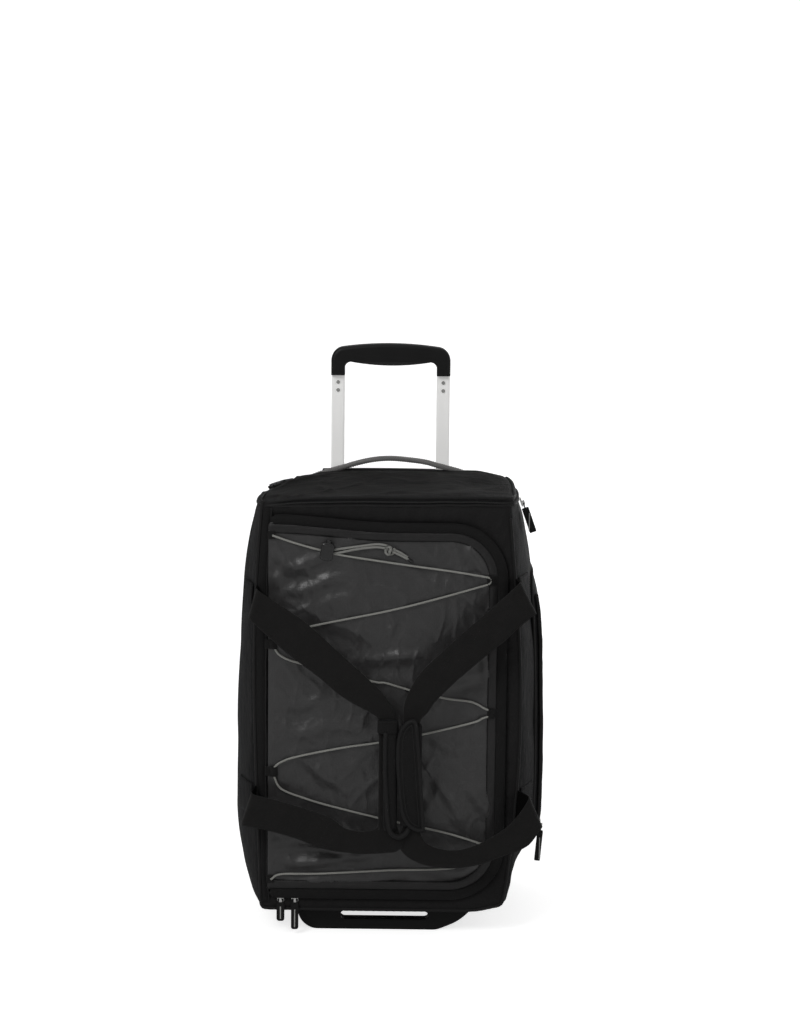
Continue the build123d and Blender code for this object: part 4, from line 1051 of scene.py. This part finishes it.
# ---------------------------------------------------------------- elastic cord
CORD = np.array([  # (x, z) down the zigzag from the upper left
    (-134.0, 482.5), (-108.0, 474.0), (-77.9, 466.0), (-53.3, 460.3), (20.5, 449.7),
    (75.0, 442.6), (112.8, 436.8), (119.6, 435.2), (121.6, 431.6), (119.4, 428.2),
    (113.0, 425.6), (52.9, 408.2), (-0.8, 394.5), (-93.2, 374.4), (-122.0, 362.4),
    (-131.0, 357.6), (-133.4, 353.4), (-131.2, 349.4), (-124.0, 340.0), (-101.2, 331.3),
    (-18.1, 311.4), (0.3, 309.0), (33.2, 299.5), (71.3, 291.1), (100.2, 287.3),
    (116.2, 279.5), (122.4, 276.4), (124.0, 273.0), (122.0, 270.2), (114.0, 267.6),
    (100.5, 261.8), (37.7, 246.4), (-5.6, 237.8), (-51.7, 230.5), (-104.3, 219.0),
    (-122.8, 212.1), (-130.4, 206.0), (-132.6, 200.5), (-131.0, 194.0), (-122.7, 179.6),
    (-96.2, 169.1), (-64.5, 159.9), (1.8, 143.9), (48.1, 134.1), (78.7, 126.8),
    (111.9, 116.3), (120.6, 112.6), (122.4, 109.0), (120.0, 105.6), (84.4, 86.2),
    (2.4, 81.8), (-77.2, 76.7), (-122.4, 75.4), (-135.0, 68.6),
])
x, z = CORD.T
cord_path = columns(x, lid_y(x, z) - 4.2 - np.maximum(0.0, 0.7 * fold_height(x, z)), z)
put(tube("elastic_cord", cord_path, 1.25, "cord", sides=10, count=1300,
         ripple=lambda s, a: 0.10 * np.sin(s * 2.6 + 2 * a) + 0.10 * np.sin(s * 2.6 - 2 * a)),
    "lid", "bungee_cord")

# webbing tabs folded over the cord at its turns: (x, z, side of the lid)
LOOPS = ((122.0, 431.8, 1), (124.5, 272.8, 1), (122.6, 108.8, 1), (-133.2, 353.4, -1),
         (-132.4, 200.2, -1))
# section of a tab, (outwards, y), from the edge, over the cord and back under it
TAB_SECTION = ((9.5, -1.2), (4.0, -2.6), (0.0, -5.4), (-3.6, -5.2), (-4.6, -3.0), (-2.6, -1.0),
               (5.0, -0.8))
loops = []
for x, z, side in LOOPS:
    y = float(lid_y(x, z))
    edges = [[(x + side * out, y + dy, z + half) for out, dy in TAB_SECTION]
             for half in (5.6, -5.6)]
    loops.append(ribbon("loop", *edges, "webbing_small", count=40, across=6, thick=1.1))
    loops.append(stitch_line(
        "loopst", [(x + side * 4.6, y - 3.6, z + dz) for dz in (-4.6, 0, 4.6)], 2.4))
for x, z in ((-135.5, 482.5), (-136.0, 68.5)):
    edges = [[(x - 4, -34.6, z + s * 4.5), (x, -35.4, z + s * 4.5), (x + 4.5, -36.4, z + s * 4.0)]
             for s in (1, -1)]
    loops.append(ribbon("endtab", *edges, "webbing_small", count=14, across=5, thick=1.4))
put(join("cord_loops_soft", loops), "lid", "cord_loops")

# knot, the two strands into it and the two tails out of it
knot_y = float(lid_y(-5, 468))
KNOT_CORDS = (  # name, radius, material, points (x, distance in front of knot_y, z)
    ("strand1", 1.5, "cord_tail", [(-74.8, 3.0, 460.5), (-60.0, 5.0, 462.5), (-36.4, 4.0, 467.3),
                                   (-14.3, 3.4, 470.0), (-2.0, 3.6, 469.0)]),
    ("strand2", 1.5, "cord_tail", [(-66.0, 3.0, 465.5), (-50.0, 4.6, 468.4), (-34.0, 3.2, 470.6),
                                   (-12.0, 3.0, 473.4), (0.0, 3.4, 472.0)]),
    ("knot", 1.55, "cord_tail", [
        (0.6 + 4.6 * math.cos(a) * math.cos(0.5 * a) + 0.3 * a, 3.6 + 2.0 * math.sin(1.5 * a),
         466.0 + 4.8 * math.sin(a)) for a in np.linspace(0, 4.2 * np.pi, 60)]),
    ("tail1", 1.45, "cord_tail", [(6.0, 3.5, 465.0), (15.0, 3.6, 461.0), (25.5, 3.4, 455.6)]),
    ("tail2", 1.35, "cord_tail", [(8.0, 3.0, 467.4), (16.0, 3.2, 463.6), (24.0, 3.0, 458.4)]),
    ("tip", 1.8, "gloss_black", [(24.6, 3.4, 456.2), (30.0, 3.4, 452.8)]),
)
knot = [tube(name, [(x, knot_y - ahead, z) for x, ahead, z in points], radius, material)
        for name, radius, material, points in KNOT_CORDS]
put(join("cord_knot_soft", knot), "lid", "cord_knot")

# ---------------------------------------------------------------- carry handles
STRAP_Y = -71.0  # plane of the webbing in front of the bag
# each arm: side, heights of its two roots in the front seam, shift of the roots in x,
# then its upper and lower edge as (x, z) from the outer fold inwards
UPPER_LEFT = (
    -1, (421.0, 384.0), 0.0,
    [(-149.7, 423.8), (-132.4, 412.3), (-91.7, 384.5), (-44.0, 341.4), (-18.2, 318.0),
     (-1.8, 301.6), (8.8, 284.0), (12.2, 272.0), (12.4, 262.0)],
    [(-158.9, 389.6), (-142.7, 374.5), (-121.8, 355.8), (-99.7, 338.4), (-76.3, 320.9),
     (-53.0, 301.0), (-34.3, 289.3), (-10.0, 275.5), (-7.4, 262.0)])
LOWER_LEFT = (
    -1, (181.0, 143.0), 0.0,
    [(-155.1, 181.2), (-138.3, 177.1), (-120.0, 172.4), (-86.4, 162.3), (-62.9, 153.8),
     (-46.1, 141.8), (-28.0, 138.0), (-12.0, 140.0), (-5.8, 148.0), (-5.4, 160.0)],
    [(-166.8, 144.2), (-155.1, 141.9), (-131.6, 136.9), (-103.0, 128.5), (-69.4, 116.4),
     (-28.3, 111.4), (0.0, 112.6), (16.0, 115.4), (22.5, 122.0), (19.0, 134.0), (13.2, 148.0)])
UPPER_RIGHT = (
    1, (432.0, 394.0), 0.0,
    [(154.0, 435.4), (140.3, 422.3), (119.8, 403.3), (97.0, 383.1), (74.1, 361.6),
     (41.7, 329.7), (29.5, 310.2), (22.7, 293.5), (20.8, 279.2), (21.4, 264.0)],
    [(172.5, 398.6), (157.1, 386.1), (137.8, 367.0), (122.9, 355.1), (97.7, 333.5),
     (80.5, 317.9), (57.5, 293.9), (48.4, 280.4), (41.0, 272.0), (39.6, 262.0)])
LOWER_RIGHT = (
    1, (178.0, 138.0), -1.0,
    [(168.8, 179.4), (158.5, 162.5), (145.4, 147.0), (128.9, 134.8), (112.3, 125.1),
     (88.9, 117.0), (68.0, 117.4), (50.0, 124.0), (42.0, 137.0), (40.2, 154.0)],
    [(183.9, 144.8), (174.3, 130.1), (163.9, 120.4), (140.6, 110.8), (112.6, 100.4),
     (84.2, 95.2), (58.0, 96.6), (37.0, 102.6), (22.0, 113.0), (17.0, 126.0), (20.4, 142.0)])


def arm_edge(side, root_z, root_shift, outline, dip):
    """One edge of an arm: out of the front seam, round the outer fold, then inwards."""
    count = 18
    line, _ = catmull(outline, count)
    y = STRAP_Y - dip * np.sin(np.pi * np.arange(count) / (count - 1))
    face = columns(line[:, 0], y, line[:, 1])
    root_x = side * (float(half_width(root_z, -26, side)) - 1.5) + root_shift
    (x0, z0), (x1, z1) = line[:2]
    edge = [(root_x + (x0 + side * 0.6 - root_x) * t, y, root_z + (z0 - root_z) * t)
            for t, y in ((0.0, -24.5), (0.25, -31.0), (0.72, -50.0), (0.97, -63.0))]
    edge.append((x0 + side * 0.5, STRAP_Y + 3.2, z0))
    edge.append((x0 * 0.8 + x1 * 0.2, STRAP_Y, z0 * 0.8 + z1 * 0.2))
    return np.vstack([edge, face[1:]])


def arm_edges(side, root_heights, root_shift, upper, lower):
    return (arm_edge(side, root_heights[0], root_shift, upper, 0.0),
            arm_edge(side, root_heights[1], root_shift, lower, 0.8))


def handle_arm(name, edges, seed):
    ob = ribbon(name, *edges, "webbing", count=190, across=11, thick=1.8, bow=0.7, wave=0.9,
                seed=seed)
    apply_mods(ob)
    ob.data.materials.append(MAT["webbing_inner"])
    shade_smooth(ob.data)
    # painted shade: the stretch between the seam and the fold lies in shadow inside the loop, so it
    # gets a near-black material
    for face in ob.data.polygons:
        if -0.0635 < face.center[1] < -0.026:
            face.material_index = 1
    return ob


def root_stitch(name, edges, side):
    """Stitches across an arm where it leaves the front seam."""
    a, b = (edge[0] * 0.65 + edge[1] * 0.35 for edge in edges)
    start, end = a * 0.92 + b * 0.08, a * 0.08 + b * 0.92
    path = [start * (1 - t) + end * t + np.array([-side * 1.2, -0.4, 0])
            for t in np.linspace(0, 1, 12)]
    return stitch_line(name, path, 2.4)


def handle(word, upper_arm, lower_arm, run_x, seed):
    """Both arms and the upright run between them, joined into one mesh."""
    name = "carry_handle_" + word
    side = upper_arm[0]
    upper, lower = arm_edges(*upper_arm), arm_edges(*lower_arm)
    run_edges = [[(run_x + half, -70, z) for z in (268, 200, 140)] for half in (-9.5, 9.5)]
    ob = join(name, [
        handle_arm(name + "_u", upper, seed),
        handle_arm(name + "_l", lower, seed + 4),
        ribbon(name + "_run", *run_edges, "webbing", count=40, across=7, thick=3.6),
        root_stitch(name + "_s1", upper, side),
        root_stitch(name + "_s2", lower, side),
    ])
    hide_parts("carry_strap_" + word)
    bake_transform(ob)


handle("left", UPPER_LEFT, LOWER_LEFT, run_x=2.0, seed=1.0)
handle("right", UPPER_RIGHT, LOWER_RIGHT, run_x=30.8, seed=7.0)


def sleeve(name, x, z_low, z_high, half, front, back, y, seed, round_bottom=False, rings=60,
           bulge=0.8):
    """Padded upright sleeve with soft ends; front and back are its depths either way from y."""
    sides = 28
    verts, uv = [], []
    for z in np.linspace(z_low, z_high, rings):
        low = 1.0
        if round_bottom:
            low = math.sqrt(max(0.02, 1 - max(0.0, (z_low + 9 - z) / 9.0) ** 2))
        high = math.sqrt(max(0.03, 1 - max(0.0, (z - (z_high - 3)) / 3.2) ** 2))
        for k in range(sides):
            a = 2 * math.pi * k / sides
            cos, sin = math.cos(a), math.sin(a)
            dx = (math.copysign(abs(cos) ** 0.55, cos) * half
                  * (0.25 + 0.75 * low) * (0.85 + 0.15 * high))
            dy = (math.copysign(abs(sin) ** 0.75, sin) * (front if sin < 0 else back)
                  * (0.3 + 0.7 * low) * (0.6 + 0.4 * high))
            verts.append((x + dx, y + dy, z))
            uv.append((z, k / sides * 2 * (half + front)))
    verts = np.array(verts)
    puff = soft_noise(verts, 18.0, seed) * bulge * 0.5
    verts[:, 1] += np.where(verts[:, 1] < y, -1, 1) * puff
    tip, end_row = len(verts), (rings - 1) * sides
    verts = np.vstack([verts, [[x, y, z_low - 0.8]], [[x, y, z_high + 0.4]]])
    uv += [(z_low, 0), (z_high, 0)]
    faces = grid_faces(rings, sides, close_cols=True)
    for k in range(sides):
        after = (k + 1) % sides
        faces.append((tip, after, k))
        faces.append((tip + 1, end_row + k, end_row + after))
    return make(name, verts, faces, "flap_fabric", uv)


def sleeve_stitch(name, z):
    return stitch_line(name, [(-8.4, -79.0, z), (3.0, -79.6, z + (0.2 if z > 265 else 0.0)),
                              (14.4, -79.0, z)], 2.6)


put(join("grip_sleeve_left", [
    sleeve("gl", 6.4, 138.0, 258.5, 8.2, 6.6, 5.6, -71.0, seed=1.0, round_bottom=True),
    tube("gl_seam", [(0.6, -77.0, 258), (0.2, -77.4, 214), (2.2, -77.4, 178), (4.4, -77.6, 150),
                     (7.4, -78.0, 139.5), (12.5, -78.2, 134.6), (19.0, -77.8, 133.8),
                     (25.5, -76.0, 138.0), (29.0, -74.0, 144.0)], 2.8, "piping", sides=10),
    sleeve("gl_top", 3.2, 257.0, 272.5, 12.4, 7.6, 6.0, -71.0, seed=2.0, rings=16, bulge=0.3),
    sleeve_stitch("gl_s1", 270.4),
    sleeve_stitch("gl_s2", 259.8),
]), "handle_left", "grip_pad_left")

right_sleeve = sleeve("gr", 30.6, 146.0, 267.0, 12.4, 6.0, 6.4, -70.5, seed=5.0)
put(right_sleeve, "handle_right", "grip_pad_right")
right_sleeve.name = "grip_sleeve_right"

# wrap flap on the right grip: outline (x, z) down its left edge, then up its right one
WRAP_OUTLINE = [
    (33.0, 274.6), (27.0, 273.4), (18.6, 264.5), (14.2, 250.1), (13.4, 225.1), (15.2, 195.0),
    (18.6, 166.0), (23.6, 152.5), (31.0, 144.2), (40.0, 140.6), (45.5, 140.8), (47.0, 143.6),
    (46.4, 156.6), (43.8, 190.8), (41.4, 224.9), (38.6, 258.7), (36.6, 272.0),
]


def wrap_loop(inset):
    loop, _ = catmull(WRAP_OUTLINE, 200, True)
    tangent = np.roll(loop, -1, 0) - np.roll(loop, 1, 0)
    tangent /= np.linalg.norm(tangent, axis=1)[:, None]
    inward = np.stack([-tangent[:, 1], tangent[:, 0]], 1)
    if np.mean(np.sum(inward * (loop - loop.mean(0)), 1)) > 0:
        inward = -inward
    return loop + inward * inset


def on_wrap(loop, shift):
    """Points (x, z) laid on the curved face of the wrap flap, shifted in y."""
    y = -79.6 + 2.6 * np.abs((loop[:, 0] - 31.0) / 17.0) ** 2.4
    return columns(loop[:, 0], y + shift, loop[:, 1])


wrap_edge = wrap_loop(0)
wrap_centre = np.array([30.4, 207.0])
wrap_rings = 17
rings = []
for k in range(wrap_rings):
    t = k / (wrap_rings - 1)
    rings.append(on_wrap(wrap_centre + (wrap_edge - wrap_centre) * t, 0.8 * t ** 6))
wrap_flap = np.array(rings).reshape(-1, 3)
wrap_flap[:, 1] -= 0.5 * soft_noise(wrap_flap, 20.0, 4.4) + 0.25 * soft_noise(wrap_flap, 8.0, 1.0)
wrap_cloth = make("wf", wrap_flap, grid_faces(wrap_rings, len(wrap_edge), True), "flap_fabric",
                  wrap_flap[:, [0, 2]])
thicken(wrap_cloth, 1.8)
put(join("wrap_flap_soft", [
    wrap_cloth,
    tube("wf_bind", on_wrap(wrap_loop(2.0), 0.3)[::4], 2.3, "piping", sides=10, closed=True,
         ripple=ripple(0.10, 1.1)),
    tube("wf_seam", on_wrap(wrap_loop(6.6), -0.7)[::4], 0.8, "piping", closed=True),
    stitch_line("wf_st", on_wrap(wrap_loop(8.6), -0.9)[::3], 2.8),
]), "wrap_flap", "grip_wrap_flap")

# reinforcing patches behind the seam where the handles are sewn in
patches = []
for side, root_heights, *_ in (UPPER_LEFT, LOWER_LEFT, UPPER_RIGHT, LOWER_RIGHT):
    edges = [[(side * (float(half_width(z, y, side)) + 1.0), y, z)
              for y in (20, 12, 2, -8, -17, -23)]
             for z in (root_heights[0] + 1.5, root_heights[1] - 1.5)]
    patches.append(ribbon("anc", *edges, "side_fabric", count=24, across=9, thick=1.2, bow=0.8,
                          bow_dir=(side, 0, 0)))
    high, low = np.array(edges)
    corners = [high[0], high[-1], low[-1], low[0], high[0]]
    path = []
    for start, end in zip(corners[:-1], corners[1:]):
        for t in np.linspace(0.06, 0.94, 8):
            point = start * (1 - t) + end * t
            middle = (corners[0] + corners[2]) / 2
            path.append(point * 0.93 + middle * 0.07 + np.array([side * 1.7, 0, 0]))
    patches.append(stitch_line("anc_st", path, 3.0))
put(join("strap_anchor_patches", patches), "bag", "strap_anchors")

# ---------------------------------------------------------------- right side pocket
POCKET_FRONT, POCKET_BACK, POCKET_LOW, POCKET_HIGH = 34.0, 158.0, 95.0, 427.0
POCKET_CENTRE = np.array([96.0, 261.0])
pocket_outline = rounded_outline([  # (y, z, radius, points)
    (POCKET_BACK - 12, POCKET_LOW + 12, 12, 10), (POCKET_BACK - 42, POCKET_HIGH - 42, 42, 22),
    (POCKET_FRONT + 34, POCKET_HIGH - 34, 34, 22), (POCKET_FRONT + 12, POCKET_LOW + 12, 12, 10),
], 260)
pocket_arms = pocket_outline - POCKET_CENTRE


def pocket_surface(y, z, t):
    """x of the pocket's face; t is 0 at its centre and 1 on its outline."""
    return half_width(z, y, 1) + 8.2 * (1 - t ** 5) ** 0.8 + 0.6


def pocket_x(y, z):
    arm = np.array([y, z], float) - POCKET_CENTRE
    angles = np.arctan2(pocket_arms[:, 1], pocket_arms[:, 0])
    turn = np.angle(np.exp(1j * (angles - math.atan2(arm[1], arm[0]))))
    nearest = pocket_arms[np.argmin(np.abs(turn))]
    return float(pocket_surface(y, z, min(1.0, np.hypot(*arm) / np.hypot(*nearest))))


pocket_rings = 25
rings = []
for k in range(pocket_rings):
    t = k / (pocket_rings - 1)
    y, z = (POCKET_CENTRE + pocket_arms * t).T
    rings.append(columns(pocket_surface(y, z, t), y, z))
pocket = np.array(rings).reshape(-1, 3)
out_share = np.repeat(np.arange(pocket_rings) / (pocket_rings - 1), len(pocket_outline))
pocket[:, 0] += (1 - out_share ** 3) * (1.4 * soft_noise(pocket, 60.0, 6.6)
                                        + 0.7 * soft_noise(pocket, 24.0, 2.6))
pocket_cloth = make("pk", pocket, grid_faces(pocket_rings, len(pocket_outline), True),
                    "side_fabric", pocket[:, [1, 2]])
thicken(pocket_cloth, 1.6, -1.0)
y, z = pocket_outline.T
pocket_piping = tube("pkp", columns(half_width(z, y, 1) + 1.2, y, z)[::4], 1.9, "piping",
                     closed=True, reference=(1, 0, 0))
put(join("side_pocket_soft", [pocket_cloth, pocket_piping]), "bag", "side_pocket")


def pocket_line(y, lift, shift=0.0):
    """Upright line on the pocket at depth y, lifted in x and shifted in y."""
    return [(pocket_x(y, z) + lift, y + shift, z) for z in np.linspace(112, 402, 60)]


put(join("side_zip", [
    ribbon("sz_t", pocket_line(43.0, 1.0), pocket_line(49.5, 1.4), "zip_tape", count=160,
           across=5, thick=0.9),
    tube("sz_c", pocket_line(46.2, 2.0), 1.2, "zip_coil", count=900, ripple=SMALL_COIL,
         reference=(1, 0, 0)),
    ribbon("sz_f", pocket_line(41.0, 1.0, -1.0), pocket_line(45.4, 3.4), "flap_fabric",
           count=160, across=6, thick=0.9, wave=0.5, bow=0.5, bow_dir=(1, 0, 0)),
]), "bag", "side_zip_track")

# ---------------------------------------------------------------- grab handle on the top
GRAB_Y = 178.5
GRAB_LINE = [  # (x, z) from left to right
    (-106.0, 519.0), (-102.2, 521.0), (-94.7, 524.8), (-78.5, 530.7), (-56.0, 537.2),
    (-41.1, 541.8), (-21.2, 546.3), (-1.2, 548.1), (18.8, 547.0), (43.7, 544.0), (60.0, 539.6),
    (81.3, 534.3), (92.0, 531.0), (102.0, 527.6),
]


def grab_ripple(along, angle):
    """Spiral ribs on a slightly flattened section."""
    return (0.42 * np.sin(2 * np.pi * (along / 2.9) + angle * 2.0)
            + 0.45 * (abs(math.cos(angle)) - 0.5))


put(tube("grab_handle_rubber", [(x, GRAB_Y, z) for x, z in GRAB_LINE], 3.45, "grab_rubber",
         sides=30, count=560, ripple=grab_ripple), "grab", "grab_handle")

# section of an end tab: outwards in x, half width in y, z
END_TAB = ((9, 5.5, -2.5), (5, 5.9, 1.5), (-1, 5.9, 3.6), (-6, 5.3, 5.4))
tabs = []
for x, z, side in ((-109.0, 515.5, -1), (105.0, 525.0, 1)):
    edges = [[(x + side * out, GRAB_Y + s * half, z + dz) for out, half, dz in END_TAB]
             for s in (-1, 1)]
    tabs.append(ribbon("tab", *edges, "webbing_small", count=30, across=9, thick=2.0, bow=0.9,
                       bow_dir=(0, 0, 1)))
put(join("grab_handle_tabs_soft", tabs), "bag", "grab_handle_tabs")

# ---------------------------------------------------------------- hard CAD parts
HARD_PARTS = (  # material, slot, CAD pieces
    ("black_plastic", "black_plastic", "back_tray"),
    ("board", "board", "base_board"),
    ("foot", "black_plastic", "front_foot"),
    ("black_metal", "steel", "foot_screws"),
    ("black_plastic", "black_plastic", "wheel_housing_left wheel_housing_right"),
    ("steel", "steel", "axle_left axle_right"),
    ("tube", "aluminium", "outer_tubes"),
    ("black_plastic", "black_plastic", "tube_bracket trolley_bezel"),
    ("tube", "aluminium", "mid_tubes"),
    ("black_plastic", "black_plastic", "mid_stage_guides"),
    ("tube", "aluminium", "inner_tubes"),
    ("black_plastic", "black_plastic", "lock_blocks"),
    ("grip_shell", "grip_plastic", "grip_shell"),
    ("steel", "steel", "grip_rivets"),
    ("gloss_black", "gloss_black", "release_lever"),
    ("steel", "steel", "release_rods"),
    ("gloss_black", "gloss_black", "cord_lock_barrel cord_lock_plunger"),
    ("nickel", "slider_metal", "main_slider_a main_slider_b top_slider side_slider"),
    ("pull_rubber", "rubber_black", "main_pull_a main_pull_b top_pull side_pull"),
    ("tyre", "tyre", "tyre_left tyre_right"),
    ("hub", "hub_plastic", "hub_left hub_right"),
    ("steel", "steel", "bearings_left bearings_right"),
    ("lining", "lining", "back_lining top_pocket_floor"),
)
for material, slot, pieces in HARD_PARTS:
    for piece in pieces.split():
        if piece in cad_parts:  # the CAD may lack a piece
            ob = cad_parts[piece]
            ob.data.materials.clear()
            ob.data.materials.append(MAT[material])

# pale line down the face of each zip pull
for pull, body, shift in (("main_pull_a", "pull_a", 0.0), ("main_pull_b", "pull_b", 0.0),
                          ("top_pull", "pull_top", 0.0), ("side_pull", "pull_side", 0.9)):
    low, high = (np.array(corner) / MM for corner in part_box(pull))
    x = (low[0] + high[0]) / 2 + shift
    z = np.linspace(low[2] + (high[2] - low[2]) * 0.66, low[2] + 2.6, 12)
    line = ribbon(pull + "_line", *(columns(x + half, low[1] - 0.15, z) for half in (-0.6, 0.6)),
                  "pull_line", count=24, across=5, thick=0.4, bow=0.15)
    put(line, body, None)

# ---------------------------------------------------------------- studio (metres)
# floor: flat from y -6 to 2.4, then a 1.2 m cove up into a wall
tree, bsdf = new_material("floor")
camera_ray = add(tree, "LightPath", {}).outputs["Is Camera Ray"]
feed(bsdf, {"Base Color": (0.80, 0.80, 0.80, 1), "Roughness": 0.9, "Specular IOR Level": 0.1,
            "Emission Color": (1, 1, 1, 1), "Emission Strength": scaled(tree, camera_ray, 0.72)})
profile = [(-6.0, 0.0), (2.4, 0.0)]
for a in np.linspace(0, math.pi / 2, 24)[1:]:
    profile.append((2.4 + 1.2 * math.sin(a), 1.2 * (1 - math.cos(a))))
profile.append((3.6, 5.0))
floor_verts = [(x, y * 1000, z * 1000) for y, z in profile for x in (-6000.0, 6000.0)]
make("studio_floor", floor_verts, grid_faces(len(profile), 2), "floor")

# the world looks bright to the camera but lights the bag only softly
world = bpy.data.worlds.new("studio_world")
bpy.context.scene.world = world
world.use_nodes = True
tree = world.node_tree
camera_ray = add(tree, "LightPath", {}).outputs["Is Camera Ray"]
feed(tree.nodes["Background"], {"Color": (1, 1, 1, 1),
                                "Strength": spread(tree, camera_ray, low=0.30, high=1.1)})

AREA_LIGHTS = (  # name, place, point it faces, width, height, power in W
    ("key", (-1.5, -2.2, 2.3), (0, 0.05, 0.25), 1.3, 1.3, 38),
    ("fill", (2.1, -1.8, 1.2), (0, 0.05, 0.25), 1.2, 1.6, 6),
    ("over", (0.0, 0.5, 2.9), (0, 0.05, 0.3), 2.4, 2.0, 10),
    ("back", (1.6, 2.8, 0.95), (0, 0.1, 0.25), 2.0, 1.2, 18),
    ("side", (3.2, 1.2, 0.9), (0, 0.1, 0.25), 1.4, 1.2, 6),
)


def area_light(name, place, target, width, height, power):
    data = bpy.data.lights.new(name, "AREA")
    data.shape = "RECTANGLE"
    data.size, data.size_y = width, height
    data.energy = power
    light = bpy.data.objects.new(name, data)
    bpy.context.scene.collection.objects.link(light)
    light.location = place
    aim = Vector(target) - Vector(place)
    light.rotation_euler = aim.to_track_quat("-Z", "Y").to_euler()
    light.visible_camera = False
    return light


[area_light(*row) for row in AREA_LIGHTS]

# camera: 3 m in front, looking slightly down
CAMERA_PLACE = (0.03149, -2.91683, 0.92863)
yaw, pitch, roll = math.radians(-0.34076), math.radians(8.0761), math.radians(-0.57)
forward = Vector((math.sin(yaw) * math.cos(pitch), math.cos(yaw) * math.cos(pitch),
                  -math.sin(pitch)))
level_right = forward.cross(Vector((0, 0, 1))).normalized()
level_up = level_right.cross(forward).normalized()
right = level_right * math.cos(roll) - level_up * math.sin(roll)
up = level_right * math.sin(roll) + level_up * math.cos(roll)
camera_data = bpy.data.cameras.new("camera")
camera_data.sensor_width = 36.0
camera_data.lens = 89.1089109
camera_data.clip_end = 50.0
camera = bpy.data.objects.new("camera", camera_data)
bpy.context.scene.collection.objects.link(camera)
camera.matrix_world = Matrix([
    (right[i], up[i], -forward[i], CAMERA_PLACE[i]) for i in range(3)] + [(0, 0, 0, 1)])
bpy.context.scene.camera = camera
bpy.context.scene.view_settings.view_transform = "Standard"
